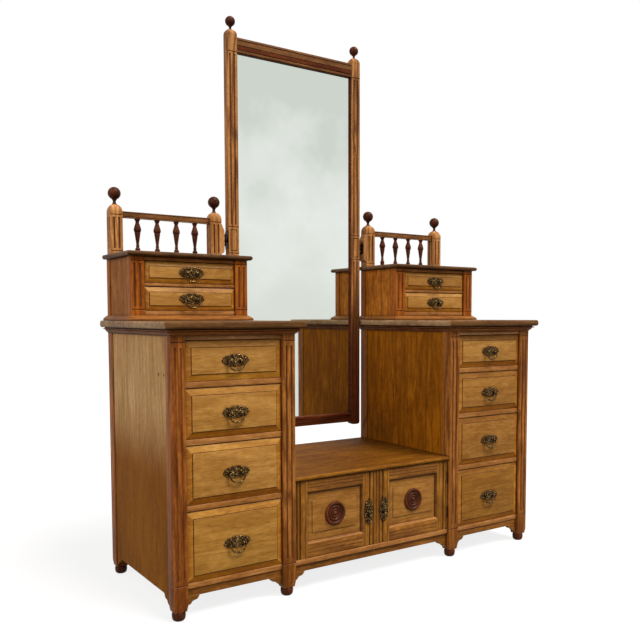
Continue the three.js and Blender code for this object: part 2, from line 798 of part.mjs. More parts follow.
// Spindle going up; shares of its height and of its greatest radius
const spindleShares = [
  [0, 0.68], [0.05, 0.66], [0.09, 0.42], [0.13, 0.47], [0.17, 0.38], [0.34, 0.54], [0.57, 0.8],
  [0.6, 0.95], [0.64, 1], [0.7, 0.93], [0.8, 0.67], [0.88, 0.48], [0.93, 0.58], [1, 0.86],
];

// Mirror block from post to face at its foot, and from face to post at its head; shares of its thickness
const blockFootShares = [[0, 0], [0.5, 0.4], [1, 1]];
const blockHeadShares = [[1, 2.2], [0.6, 1.3], [0, 0]];

// Gallery: two posts with finials, rail, spindles and the block that carries the mirror movement
function gallery(side) {
  const z0 = boxTopHeight + gap;
  const y0 = depthAt(postBackInset);
  const y1 = depthAt(postBackInset + postWidth);
  const middleY = depthAt(pivotDepth);
  const parts = [];
  const cutters = [];
  const clear = fluteClear / 2;
  const shoulder = boxTopHeight + postShoulderRise;
  const [lowLine, highLine] = postLineRises.map((rise) => boxTopHeight + rise);
  const outerPost = outer - outerPostInset - postWidth;
  for (const x0 of [inner, outerPost]) {
    const x1 = x0 + postWidth;
    parts.push(archedPost(side * x0, side * x1, y0, y1, z0, shoulder));
    parts.push(ballFinial(
      side * (x0 + x1) / 2, middleY, finialRadius, shoulder + finialCentreRise, shoulder,
    ));
    cutters.push(...frontFlutes(side * x0, side * x1, y1, lowLine + clear, highLine - clear));
    cutters.push(...sideFlutes(side * x1, y0, y1, lowLine + clear, highLine - sideFluteDrop));
    if (x0 > inner) {
      cutters.push(...sideFlutes(side * x0, y0, y1, lowLine + clear, highLine - sideFluteDrop));
    }
    for (const z of [lowLine, highLine]) {
      cutters.push(frontLine(side * x0, side * x1, y1, z));
    }
  }
  const left = inner + postWidth;
  const railLow = boxTopHeight + galleryRailRise;
  const railDepth0 = pivotDepth - galleryRailThickness / 2;
  parts.push(boardAt(side, left - bury, outerPost + bury, railDepth0, railDepth0 + galleryRailThickness,
    railLow, railLow + galleryRailHeight));
  const height = railLow + bury - z0;
  for (const share of spindlePlaceShares) {
    const x = side * (left + share * (outerPost - left));
    const profile = spindleShares.map(([up, wide]) => [wide * spindleRadius, z0 + up * height]);
    parts.push(turned([[0, z0], ...profile, [0, z0 + height]], 'z', [x, middleY, 0]));
  }
  const [blockLow, blockHigh] = pivotBlockRises.map((rise) => boxTopHeight + rise);
  const place = (from, direction) => ([out, up]) => [
    inner - out * pivotBlockThickness, from + direction * up * pivotBlockThickness,
  ];
  const outline = [
    [inner + bury, blockLow], ...blockFootShares.map(place(blockLow, 1)),
    ...blockHeadShares.map(place(blockHigh, -1)), [inner + bury, blockHigh],
  ];
  parts.push(cutOutFront(outline.map(([x, z]) => [side * x, z]), [], y0 - bury, y1 + bury));
  return carved(joined(parts), cutters);
}

// Swelling of the movement between mirror and plate; shares along the reach
const ballShares = [
  [pivotNeckRadius, 0], [pivotBallRadius, 0.3], [pivotBallRadius, 0.55], [pivotNeckRadius, 0.8],
];

// Mirror movement: plate on the gallery block, ball and a pin into the mirror stile
function mirrorPivot(side) {
  const middleY = depthAt(pivotDepth);
  const plateBack = plateFace - pivotPlateThickness;
  const plate = board(side * plateBack, side * plateFace, middleY - pivotPlateDepth / 2,
    middleY + pivotPlateDepth / 2, pivotHeight - pivotPlateHeight / 2, pivotHeight + pivotPlateHeight / 2);
  const pinEnd = mirrorStileFace - pivotPinDepth;
  const neckStart = mirrorStileFace + gap;
  const swelling = ballShares.map(([r, along]) => [r, neckStart + along * (plateBack - neckStart)]);
  const shape = [
    [0, pinEnd], [pivotPinRadius, pinEnd], [pivotPinRadius, neckStart], ...swelling,
    [pivotNeckRadius, plateBack + bury], [0, plateBack + bury],
  ];
  const profile = shape.map(([r, along]) => [r, side * along]);
  return plate.add(turned(profile, 'x', [0, middleY, pivotHeight]));
}

// Rounded foot of a mirror stile: shares of its rounding inward and up
const toeShares = [[1, 0], [0.3, 0.3]];

// Mirror frame: two arched stiles with finials, top and bottom rails, a rebate for glass and back board
function mirrorFrame() {
  const y0 = depthAt(mirrorBackInset);
  const y1 = depthAt(mirrorBackInset + mirrorThickness);
  const middleY = (y0 + y1) / 2;
  const half = mirrorStileWidth / 2;
  const sight = mirrorStileCentre - half;
  const foot = pivotHeight - mirrorDrop;
  const shoulder = pivotHeight + mirrorShoulderRise;
  const parts = [];
  const cutters = [];
  for (const side of [-1, 1]) {
    const x0 = side * mirrorStileCentre - half;
    const x1 = side * mirrorStileCentre + half;
    parts.push(archedPost(x0, x1, y0, y1, foot + mirrorFootRadius, shoulder));
    const toe = toeShares.map(([into, up]) => ringAtZ(
      foot + up * mirrorFootRadius, x0 + into * mirrorFootRadius, x1 - into * mirrorFootRadius, y0, y1,
    ));
    parts.push(loft([...toe, ringAtZ(foot + mirrorFootRadius + bury, x0, x1, y0, y1)]));
    parts.push(ballFinial(
      side * mirrorStileCentre, middleY, mirrorFinialRadius, shoulder + mirrorFinialRise, shoulder,
    ));
    const panelLow = pivotHeight - pivotPanelHeight / 2;
    const panelHigh = pivotHeight + pivotPanelHeight / 2;
    const topLine = shoulder - mirrorTopLineDrop;
    const lowLine = panelLow - pivotLineOffset;
    const highLine = panelHigh + pivotLineOffset;
    const clear = fluteClear / 2;
    cutters.push(...frontFlutes(x0, x1, y1, mirrorBottomRail[0] + clear, lowLine - clear));
    cutters.push(...frontFlutes(x0, x1, y1, highLine + clear, topLine - clear));
    for (const z of [lowLine, highLine, topLine]) {
      cutters.push(frontLine(x0, x1, y1, z));
    }
    const ring = (y, inset) => ringAtY(y, x0 + inset, x1 - inset, panelLow + inset - pivotPanelInset,
      panelHigh - inset + pivotPanelInset);
    cutters.push(loft([
      ring(y1 - bury, pivotPanelInset - bury),
      ring(y1 + pivotPanelDepth, pivotPanelInset + pivotPanelDepth),
    ]));
    const hole = side * mirrorStileFace - (side > 0 ? pivotPinDepth + gap : bury);
    cutters.push(cylinder(pivotPinRadius + pivotPinPlay, pivotPinDepth + gap + bury, 'x',
      [hole, depthAt(pivotDepth), pivotHeight]));
  }
  const reach = sight + bury;
  for (const [z0, z1] of [mirrorBottomRail, mirrorTopRail]) {
    parts.push(board(-reach, reach, y0, y1, z0, z1));
    for (const share of mirrorReedShares) {
      const z = z0 + share * (z1 - z0);
      cutters.push(reedGroove(-sight + fluteClear, sight - fluteClear, y1, z));
    }
  }
  const lipBack = y1 + lipThickness;
  const bottom = mirrorBottomRail[1];
  const top = mirrorTopRail[0];
  cutters.push(board(-sight - rebateWidth, sight + rebateWidth, lipBack, y0 + bury,
    bottom - rebateWidth, top + rebateWidth));
  cutters.push(loft([
    ringAtY(y1 - bury, -sight - sightChamfer - bury, sight + sightChamfer + bury,
      bottom - sightChamfer - bury, top + sightChamfer + bury),
    ringAtY(y1 + sightChamfer, -sight, sight, bottom, top),
  ]));
  return carved(joined(parts), cutters);
}

// Glass or back board, loose in the rebate
function mirrorLeaf(frontDepth, thickness) {
  const half = mirrorStileCentre - mirrorStileWidth / 2 + rebateWidth - gap;
  const z0 = mirrorBottomRail[1] - rebateWidth + gap;
  const z1 = mirrorTopRail[0] + rebateWidth - gap;
  return boardAt(1, -half, half, frontDepth - thickness, frontDepth, z0, z1);
}

// Cupboard carcass standing between the pedestals
function cupboardCarcass() {
  const half = inner - gap;
  const topZ = cupboardTopUnderside - gap;
  const floorLow = cupboardFloorHeight - cupboardFloorThickness;
  const railFront = doorFront + cupboardRailForward;
  const railLow = cupboardFloorHeight - cupboardRailThickness;
  const apronFront = doorFront - cupboardApronSetback;
  const apronBack = apronFront - apronThickness;
  const parts = [
    boardAt(
      1, -half + bury, half - bury, backInset + bury, cupboardDepth - bury, floorLow, cupboardFloorHeight,
    ),
    boardAt(
      1, -half + bury, half - bury, backInset, backInset + backThickness, floorLow - bury, topZ - bury,
    ),
    boardAt(1, -half + bury, half - bury, cupboardDepth - cupboardStopRail, cupboardDepth - bury,
      topZ - cupboardStopRail, topZ - bury),
    boardAt(1, -half, half, railFront - cupboardRailDepth, railFront, railLow, cupboardFloorHeight),
    boardAt(1, -half, half, apronBack, apronFront, apronHeight, railLow + bury),
  ];
  for (const side of [-1, 1]) {
    parts.push(boardAt(side, half - cupboardSide, half, backInset, cupboardDepth, apronHeight, topZ));
    const outline = bracketOutline(half - bury, -1, apronHeight);
    parts.push(cutOutFront(
      outline.map(([x, z]) => [side * x, z]), [], depthAt(apronBack), depthAt(apronFront),
    ));
  }
  return joined(parts);
}

// Cupboard top with a rounded front edge
function cupboardTop() {
  const half = inner - gap;
  return loft(nosingProfile.map(([up, back]) => ringAtZ(
    cupboardTopUnderside + up, -half, half, depthAt(doorFront + cupboardTopForward - back), backPlane,
  )));
}

// Roundel: radius and height shares of a turned bull's-eye
const roundelShares = [
  [1, 0], [1, 0.5], [0.94, 0.8], [0.84, 0.9], [0.74, 0.6], [0.62, 0.3], [0.5, 0.45],
  [0.4, 0.75], [0.3, 0.45], [0.22, 0.5], [0.12, 0.95], [0, 1],
];

// Door: framed panel, raised field with a roundel, grooved and reeded edge strips, hinge knuckles
function door(side) {
  const hang = inner - doorHingePlay;
  const yBack = depthAt(doorFront - doorThickness);
  const yFront = depthAt(doorFront);
  const stripEnd = doorMeetingPlay + meetingStripWidth;
  const stileStart = stripEnd + doorGrooveWidth;
  const openStart = stileStart + doorStileWidth;
  const marginStart = hang - marginStripWidth;
  const stileEnd = marginStart - doorGrooveWidth;
  const openEnd = stileEnd - doorStileWidth;
  const low = doorLow + doorBottomRail;
  const high = doorHigh - doorTopRail;
  const slab = board(side * doorMeetingPlay, side * hang, yBack, yFront, doorLow, doorHigh);
  const ring = (y, inset) => ringAtY(y, side * (openStart + inset), side * (openEnd - inset),
    low + inset, high - inset);
  const opening = loft([
    ring(yFront - bury, -bury), ring(yFront + doorOpeningChamfer, doorOpeningChamfer),
    ring(yBack + bury, doorOpeningChamfer),
  ]);
  const grooves = [[stripEnd, stileStart], [stileEnd, marginStart]].map(([x0, x1]) => board(
    side * x0, side * x1, yFront - bury, yFront + doorGrooveDepth, doorLow - bury, doorHigh + bury,
  ));
  const stripMiddles = [doorMeetingPlay + meetingStripWidth / 2, marginStart + marginStripWidth / 2];
  const reeds = stripMiddles.map((x) => fluteCutter(
    side * x, yFront, doorLow - fluteRadius, doorHigh + fluteRadius,
  ));
  const [left, right] = side > 0 ? [openStart, openEnd] : [-openEnd, -openStart];
  for (const [from, to] of [[doorLow, low], [high, doorHigh]]) {
    for (const share of doorReedShares) {
      reeds.push(reedGroove(left, right, yFront, from + share * (to - from)));
    }
  }
  const panelFace = yFront + panelSetback;
  const edge = doorOpeningChamfer - bury;
  const field = (y, bevelX, bevelZ) => ringAtY(y, side * (openStart + edge + bevelX),
    side * (openEnd - edge - bevelX), low + edge + bevelZ, high - edge - bevelZ);
  const panel = loft([
    field(panelFace + panelThickness, 0, 0), field(panelFace, 0, 0),
    field(panelFace - panelRise + quirkRise, panelBevelSide, panelBevelEnd),
    field(panelFace - panelRise, panelBevelSide + quirkWidth, panelBevelEnd + quirkWidth),
  ]);
  const bossX = side * (openStart + openEnd) / 2;
  const bossFoot = panelFace - panelRise + bury;
  const profile = roundelShares.map(([r, up]) => [r * roundelRadius, up * (roundelRise + bury)]);
  const roundel = turned([[0, 0], ...profile], '-y', [bossX, bossFoot, (low + high) / 2], turnedSides * 2);
  const knuckles = [doorLow + hingeInset, doorHigh - hingeInset - hingeLength].map((z) => cylinder(
    hingeRadius, hingeLength, 'z', [side * (hang - hingeSetback), yFront - hingeSetback, z], fluteSides,
  ));
  return joined([carved(slab, [opening, ...grooves, ...reeds]), panel, roundel, ...knuckles]);
}

// A named mesh of one solid
function mesh(name, solid, material) {
  const shape = solid.getMesh();
  const geometry = new THREE.BufferGeometry();
  geometry.setAttribute('position', new THREE.BufferAttribute(new Float32Array(shape.vertProperties), 3));
  geometry.setIndex(new THREE.BufferAttribute(new Uint32Array(shape.triVerts), 1));
  geometry.computeVertexNormals();
  const piece = new THREE.Mesh(geometry, material);
  piece.name = name;
  return piece;
}

const chest = new THREE.Group();
chest.name = 'dressing_chest';

for (const [word, side] of [['left', -1], ['right', 1]]) {
  chest.add(mesh(`pedestal_carcass_${word}`, pedestalCarcass(side), frameWood));
  chest.add(mesh(`pedestal_top_${word}`, pedestalTop(side), topWood));
  chest.add(mesh(`jewel_box_${word}`, jewelBox(side), frameWood));
  chest.add(mesh(`jewel_box_top_${word}`, jewelBoxTop(side), topWood));
  chest.add(mesh(`gallery_${word}`, gallery(side), frameWood));
  chest.add(mesh(`mirror_pivot_${word}`, mirrorPivot(side), brass));
  chest.add(mesh(`door_${word}`, door(side), frameWood));
  chest.add(mesh(`door_plate_${word}`, doorPlate(side), brass));
  chest.add(mesh(`door_drop_${word}`, doorDrop(side), brass));
}

for (const slot of drawerSlots()) {
  const x = slot.side * pedestalCentre;
  const fieldY = depthAt(slot.plane + bevelRise + quirkRise);
  const z = slot.z0 + slot.handleShare * (slot.z1 - slot.z0);
  const shape = drawer(
    x, slot.width, slot.z0, slot.z1, slot.plane, slot.thickness, slot.bevel, slot.backDepth,
  );
  chest.add(mesh(slot.name, shape, honeyWood));
  chest.add(mesh(`${slot.name}_plate`, handlePlate(x, z, fieldY), brass));
  chest.add(mesh(`${slot.name}_bail`, bail(x, z, fieldY), brass));
}

chest.add(mesh('cupboard_carcass', cupboardCarcass(), frameWood));
chest.add(mesh('cupboard_top', cupboardTop(), topWood));
chest.add(mesh('mirror_frame', mirrorFrame(), frameWood));
const glassFront = mirrorBackInset + mirrorThickness - lipThickness - gap;
chest.add(mesh('mirror_glass', mirrorLeaf(glassFront, glassThickness), silvering));
chest.add(mesh('mirror_back', mirrorLeaf(glassFront - glassThickness - gap, backBoardThickness), backing));

export default chest;
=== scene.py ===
# Dressing chest of honey and red-brown ash with a tilting mirror, seen as in an antique dealer's photograph
import math
import bmesh
import bpy
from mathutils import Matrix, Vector


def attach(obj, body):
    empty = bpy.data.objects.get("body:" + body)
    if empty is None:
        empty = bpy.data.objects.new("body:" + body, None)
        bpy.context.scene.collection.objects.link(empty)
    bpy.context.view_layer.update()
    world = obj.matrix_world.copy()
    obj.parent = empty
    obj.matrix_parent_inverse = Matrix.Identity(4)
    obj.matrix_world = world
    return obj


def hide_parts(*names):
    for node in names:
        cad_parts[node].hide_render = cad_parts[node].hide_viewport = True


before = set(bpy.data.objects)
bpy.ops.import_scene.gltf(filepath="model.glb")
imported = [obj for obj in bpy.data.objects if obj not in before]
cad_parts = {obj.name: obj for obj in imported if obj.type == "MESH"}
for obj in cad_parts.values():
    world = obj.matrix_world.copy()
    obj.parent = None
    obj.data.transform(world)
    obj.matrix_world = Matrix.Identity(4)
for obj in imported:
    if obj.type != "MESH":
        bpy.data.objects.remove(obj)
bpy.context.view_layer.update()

# Sizes in millimetres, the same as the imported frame: floor at z 0, front toward -Y; depths are counted
# forward from the back plane
GAP = 0.3
OUTER = 724
INNER = 322
MIDDLE = (OUTER + INNER) / 2
BACK_PLANE = 287
PEDESTAL_DEPTH = 548
STILE = 43
CARCASS_TOP = 819
SLAB_TOP = 860
RAIL_TOPS = [687, 522, 331, 105]
OPENINGS = [119, 147, 173, 208]
RAIL = 18
BOTTOM_RAIL = 17
TOP_PLAY = 2
APRON_LOW = 65
BOX_DEPTH = 235
BOX_STILE = 43.5
BOX_BASE_TOP = 876.5
BOX_TOP = 1062
BOX_LID_TOP = 1077
BOX_RAIL_TOPS = [978.5, 891]
BOX_OPENINGS = [71, 77.5]
POST = 41
POST_DEPTH = 21
OUTER_POST_INSET = 3
POST_CROWN = 1245.5
PIVOT_Z = 1150
MIRROR_STILE = 271
MIRROR_STILE_HALF = 20.5
MIRROR_DEPTH = 21
CUPBOARD_LID = 357.6
DOOR_LOW, DOOR_HIGH = 106.5, 355.5
DOOR_FRONT = 537
# Where a handle stands, as a share of its drawer front's height, from the top drawer down
HANDLE_SHARES = [0.49, 0.48, 0.48, 0.475]
# More sizes that several pieces share
APRON_TOP = 88.6
LEG_FOOT = 27.6
DRAWER_BACK = 28
DRAWER_PLAY = 0.6
DOOR_THICK = 21
MIRROR_FOOT, MIRROR_SHOULDER = PIVOT_Z - 716, PIVOT_Z + 729
# How far a piece runs into its neighbour, and how far the gallery's block stands in from its post
LET_IN = 0.5
BLOCK_PROUD = 11.5
# A side panel's outer and inner face, counted in from those of the stiles, and where its runners start
PANEL_OUT, PANEL_IN, RUNNER_START = 3, 17, 16.5
# A brass plate's face, its pins and the seat of its posts, counted forward from what it is fixed to
PLATE_FACE, PIN_PROUD, POST_SEAT = 1.05, 10.5, 0.4
# Cut lines to the ends of the flutes between them
PEDESTAL_STOP, STOP = 15, 7.5


def depth_at(depth):
    """The y of a depth counted forward from the back plane."""
    return BACK_PLANE - depth


# Finishes
def linear(shade):
    """A written sRGB colour as the linear values that a shader takes."""
    parts = [int(shade[i:i + 2], 16) / 255 for i in (1, 3, 5)]
    return [c / 12.92 if c <= 0.04045 else ((c + 0.055) / 1.055) ** 2.4 for c in parts] + [1.0]


def add(tree, kind, inputs=None, **settings):
    """Adds a shader node with its settings; an input is a value, a written colour or a node's socket."""
    made = tree.nodes.new("ShaderNode" + kind)
    for key, value in settings.items():
        setattr(made, key, value)
    for key, value in (inputs or {}).items():
        if isinstance(value, bpy.types.NodeSocket):
            tree.links.new(value, made.inputs[key])
        else:
            made.inputs[key].default_value = linear(value) if isinstance(value, str) else value
    return made


def blank_finish(name):
    """A material with nothing in it yet, and its tree of nodes."""
    finish = bpy.data.materials.new(name)
    finish.use_nodes = True
    finish.node_tree.nodes.clear()
    return finish, finish.node_tree


def ramp(tree, factor, places, shades):
    """A colour ramp between written colours."""
    made = add(tree, "ValToRGB", {"Fac": factor})
    band = made.color_ramp
    while len(band.elements) < len(places):
        band.elements.new(0.5)
    for element, place, shade in zip(band.elements, places, shades):
        element.position = place
        element.color = linear(shade)
    return made.outputs["Color"]


def noise(tree, vector, scale, detail, roughness=0.5, distortion=0.0):
    return add(tree, "TexNoise", {
        "Vector": vector, "Scale": scale, "Detail": detail, "Roughness": roughness,
        "Distortion": distortion}).outputs["Fac"]


def remap(tree, value, low, high, to_low=0.0, to_high=1.0, **settings):
    """Stretches a value from one range onto another."""
    return add(tree, "MapRange", {
        "Value": value, "From Min": low, "From Max": high, "To Min": to_low, "To Max": to_high},
        **settings).outputs[0]


def reckon(tree, operation, *values):
    return add(tree, "Math", dict(enumerate(values)), operation=operation).outputs[0]


def mix(tree, factor, first, second):
    """Two colours mixed."""
    return add(tree, "Mix", {"Factor": factor, 6: first, 7: second}, data_type="RGBA").outputs[2]


def hollows(tree, reach, samples=6, **settings):
    """How open the surface is within a reach in metres: 1 out in the open, less in a corner."""
    return add(tree, "AmbientOcclusion", {"Distance": reach}, samples=samples, **settings).outputs["AO"]


def covered(tree, settings):
    """Gives a material its surface."""
    surface = add(tree, "BsdfPrincipled", settings)
    add(tree, "OutputMaterial", {"Surface": surface.outputs[0]})


# Which axes lie across the grain of boards that run along x, y or z, and where tones fall in the mottling
GRAIN = {"x": (0, 1, 1), "y": (1, 0, 1), "z": (1, 1, 0)}
TONE_PLACES = (0.36, 0.5, 0.63)


def waxed_wood(name, grain, shades, sheen=0.5, figure=0.5, wear=0.6, shine=0.12, pores=(3.6, 60),
               pore_depth=0.45, painted_light_above=None, end_grain=None, knots=(), corner_shade=0.95, patches=(30, 110)):
    """Wood planed and wax polished: soft mottling, long dark pores, the arcs of growth rings, edges
    rubbed pale and painted shade darkening the inside corners. Shades are the wood from light through body
    to dark, then the dark of the pores, knots and painted corner shade, and the rubbed edge; shades given for
    the top take over above a band of heights, painted light for light that falls off toward the floor."""
    light, body, dark, pore_and_shade_dark, rubbed = shades.split()
    finish, tree = blank_finish(name)
    place = add(tree, "TexCoord").outputs["Object"]

    def pattern(width, length, detail, roughness, distortion=0.0):
        """Noise that is so wide across the grain and so long along it, in mm."""
        scale = [1000 / (width if across else length) for across in GRAIN[grain]]
        stretched = add(tree, "Mapping", {"Vector": place, "Scale": scale}).outputs[0]
        return noise(tree, stretched, 1.0, detail, roughness, distortion)

    def over(factor, first, second):
        return add(tree, "Mix", {"Factor": factor, 2: first, 3: second}, data_type="FLOAT").outputs[0]

    # mottling in patches about 30 mm wide and 110 mm long, longer on uprights, under broad fading over
    # half a metre, with flecks of 7 by 20 mm over both
    mottle = pattern(*patches, 5.0, 0.62, 0.5)
    shade = over(0.3, over(0.4, mottle, pattern(260, 520, 2.0, 0.5)), pattern(7, 20, 2.0, 0.6))
    tone = ramp(tree, shade, TONE_PLACES, (dark, body, light))
    # painted light: above a band of heights the wood takes the lighter shades given for the top, standing for
    # light that falls off toward the floor
    if painted_light_above:
        low, high, lit_shades = painted_light_above
        height = add(tree, "SeparateXYZ", {0: place}).outputs["Z"]
        lit_share = remap(tree, height, low / 1000, high / 1000, interpolation_type="SMOOTHSTEP")
        tone = mix(tree, lit_share, tone, ramp(tree, shade, TONE_PLACES, lit_shades.split()[::-1]))
    # growth rings 9 mm apart on a plain-sawn face
    turns = reckon(tree, "MULTIPLY", pattern(90, 900, 2.0, 0.5, 0.25), 62.0)
    colour = mix(tree, remap(tree, reckon(tree, "SINE", turns), -0.2, 1.0, 0.0, figure), tone, dark)
    # pores are 0.3 mm wide, too fine to show, so they are drawn a few millimetres wide
    pore = pattern(*pores, 4.0, 0.65)
    colour = mix(tree, remap(tree, pore, 0.5, 0.72, 0.0, pore_depth), colour, pore_and_shade_dark)
    for x, y, z, radius in knots:
        away = add(tree, "VectorMath", {0: place, 1: (x / 1000, y / 1000, z / 1000)}, operation="DISTANCE")
        knot = remap(tree, away.outputs["Value"], radius / 1000, radius / 2500, 0.0, 0.85)
        colour = mix(tree, knot, colour, pore_and_shade_dark)
    if end_grain:
        # sawn ends drink the wax and stay dusty and pale
        facing = add(tree, "SeparateXYZ", {0: add(tree, "TexCoord").outputs["Normal"]})
        turned_away = reckon(tree, "ABSOLUTE", facing.outputs[grain.upper()])
        colour = mix(tree, remap(tree, turned_away, 0.5, 0.8, 0.0, 0.85), colour,
                     ramp(tree, shade, (0.4, 0.58), end_grain.split()))
    # handling rubs the last 2 mm at an edge back to paler wood
    edge = hollows(tree, 0.003, 4, inside=True, only_local=True)
    bared = reckon(tree, "MULTIPLY", remap(tree, edge, 0.78, 0.4, 0.0, wear), mottle)
    colour = mix(tree, bared, colour, rubbed)
    # painted shade: the wood is darkened within 7 mm of an inside corner, where shade falls
    colour = mix(tree, remap(tree, hollows(tree, 0.007), 0.94, 0.42, 0.0, corner_shade), colour, pore_and_shade_dark)
    relief = add(tree, "Bump", {"Height": pore, "Strength": 0.4, "Distance": 0.0003})
    # open-grained wood under thin wax reflects less than solid lacquer does
    covered(tree, {
        "Base Color": colour, "Roughness": remap(tree, pore, 0.0, 1.0, sheen - 0.1, sheen + 0.16),
        "Normal": relief.outputs[0], "IOR": 1.5, "Specular IOR Level": shine})
    return finish


def cast_brass(name, shades, roughness):
    """Brass cast in sand, lacquered and handled for a century: black in the hollows, dark where the lacquer
    holds, and bright in spots on the raised work where it has worn off."""
    finish, tree = blank_finish(name)
    place = add(tree, "TexCoord").outputs["Object"]
    # the casting's grit is 0.4 mm, drawn 1.6 mm so that it breaks up the reflections
    grit = noise(tree, place, 620.0, 3.0, 0.6)
    # bare spots are 2.5 mm across
    worn = remap(tree, noise(tree, place, 400.0, 1.0), 0.53, 0.61)
    open_air = hollows(tree, 0.006)
    *tarnish, bright = shades.split()
    bared = reckon(tree, "MULTIPLY", worn, remap(tree, open_air, 0.72, 0.95))
    colour = mix(tree, bared, ramp(tree, open_air, (0.35, 0.8, 1.0), tarnish), bright)
    relief = add(tree, "Bump", {"Height": grit, "Strength": 0.4, "Distance": 0.0002})
    gloss = remap(tree, grit, 0.0, 1.0, roughness - 0.1, roughness + 0.15)
    covered(tree, {"Base Color": colour, "Metallic": 1.0, "Roughness": gloss, "Normal": relief.outputs[0]})
    return finish


def silvered_glass():
    """Plate glass silvered on its back: a clear cool reflection, with a painted reflection that is lighter in
    the middle and greyer toward the head, and a little cloudy."""
    finish, tree = blank_finish("silvered plate glass")
    place = add(tree, "TexCoord").outputs["Object"]
    # clouds in old silver are a hand wide
    cloud = noise(tree, place, 3.2, 4.0)
    # painted reflection: clouds and height together set the tint lighter in the middle and greyer toward the
    # head
    up = remap(tree, add(tree, "SeparateXYZ", {0: place}).outputs["Z"], 0.45, 1.85)
    aged = reckon(tree, "MULTIPLY_ADD", reckon(tree, "SUBTRACT", cloud, 0.5), 0.9, up)
    tint = ramp(tree, aged, (0.0, 0.36, 0.6, 0.74, 0.86), (
        "#d6dbd4", "#dadfd8", "#e5eae4", "#dce2db", "#cdd4cc"))
    haze = remap(tree, cloud, 0.0, 1.0, 0.01, 0.04)
    covered(tree, {"Base Color": tint, "Metallic": 1.0, "Roughness": haze})
    return finish


# Planed fronts have short close pores; stiles cut from long stuff have long ones and narrow mottling
CLOSE = {"pores": (3.2, 34)}
LONG = {"pores": (4.4, 90), "pore_depth": 0.55}
STILE_CUT = {**LONG, "wear": 1.0, "patches": (14, 320)}

honey_front = waxed_wood(
    "honey ash drawer front, waxed", "x", "#b88745 #a77637 #8e5f23 #4a1c05 #c99d6b", **CLOSE)
bevel_across = waxed_wood(
    "honey ash bevel under old varnish", "x", "#bc8033 #a76c1e #864b0b #451703 #cd9d67", shine=0.22, **CLOSE)
panel_across = waxed_wood(
    "honey ash door panel, waxed", "x", "#a57434 #95642b #7a4c18 #451a05 #bd8f60", **CLOSE)
# painted shade: darker copies of the front finish for the drawers that the table further down names
shaded_front = waxed_wood(
    "deep honey ash drawer front, waxed", "x", "#a67436 #95652b #7b4e19 #451a05 #c49763", **CLOSE)
shaded_bottom_front = waxed_wood(
    "dull honey ash drawer front, waxed", "x", "#ac7d3a #9c6d2d #84571c #451a05 #bd8f60", **CLOSE)
darker_shaded_front = waxed_wood(
    "dark honey ash drawer front, waxed", "x", "#956526 #86581e #6f4410 #401803 #b38650", **CLOSE)
# painted light: a paler copy of the bevel finish for the upper bevels, which face the lamps
lit_upper_bevel = waxed_wood(
    "honey ash bevel, waxed", "x", "#b68540 #a27027 #824f11 #5a2808 #d0a878", shine=0.2, **CLOSE)
# painted shade: a darker copy of the upper bevel finish for the right pedestal's drawers
bevel_shaded = waxed_wood("brown ash bevel, waxed", "x", "#91622f #80531b #663809 #451703 #a87444", **CLOSE)
# painted shade: a darker copy of the bevel finish for the lower bevels, which face the floor
shaded_lower_bevel = waxed_wood(
    "ash lower bevel, painted shade", "x", "#ad6d18 #9a5c0c #7a4004 #3a1200 #af7e39", **CLOSE)
# painted light: a lighter copy for the lower bevels of the jewel drawers and the top left drawer
lit_lower_bevel = waxed_wood(
    "honey ash lower bevel, waxed", "x", "#de9f47 #c5862b #9f5e13 #4a1c05 #d0a878", **CLOSE)
# the quirk round each field is painted darker than the wood beside it
quirk_dark = waxed_wood("ash quirk, painted dark", "x", "#7a4c20 #623812 #462408 #2c0f02 #8a5c30")
rail_across = waxed_wood("brown ash rail, waxed", "x", "#b37b44 #9c6631 #79491d #3c1403 #c99969", wear=0.8)
# painted light: a paler copy of the rail finish, with less painted corner shade, for the rail in the slab's
# shadow
lit_top_rail = waxed_wood(
    "pale brown ash rail, waxed", "x", "#d79f6d #bb8450 #925f32 #5a2c10 #ecc1a4", corner_shade=0.4)
apron_across = waxed_wood("brown ash apron, waxed", "x", "#945d23 #7c4c19 #5c340c #351403 #ab7a3f", wear=0.7)
# painted shade: the stiles are darker below 80 mm, near the floor, and take their paler shades above 190 mm
stile_upright = waxed_wood(
    "red-brown ash stile, waxed", "z", "#92541d #7a4112 #562704 #3a1200 #b07a48", figure=0.7,
    painted_light_above=(80, 190, "#b06a2a #92521b #682f08"), **STILE_CUT)
pale_stile_upright = waxed_wood(
    "brown ash stile, waxed", "z", "#985f20 #804a15 #5a2d05 #351100 #b98450", figure=0.7,
    painted_light_above=(80, 190, "#b47434 #965b23 #6c380e"), **STILE_CUT)
box_stile_upright = waxed_wood(
    "warm brown ash jewel box stile, waxed", "z", "#bb6d1a #9c5410 #703403 #3a1200 #c99258", figure=0.6,
    pores=(4.4, 90), pore_depth=0.55, wear=1.0, patches=(14, 200))
door_upright = waxed_wood(
    "brown ash door stile, waxed", "z", "#a46f29 #8a5619 #643b0d #351503 #be8d4e", figure=0.6, **LONG)
door_across = waxed_wood(
    "brown ash door rail, waxed", "x", "#9f6827 #85521d #613910 #351503 #b9884e", figure=0.5)
# painted shade: a darker finish for the reveals at the head and right-hand side of each door opening
shaded_reveal = waxed_wood(
    "ash door reveal, painted shade", "x", "#744716 #60370f #452507 #220b00 #8a5c2c")
post_upright = waxed_wood(
    "light ash post, waxed", "z", "#d39861 #b77d45 #8c5622 #3c1503 #e0b48e", figure=0.75, **STILE_CUT)
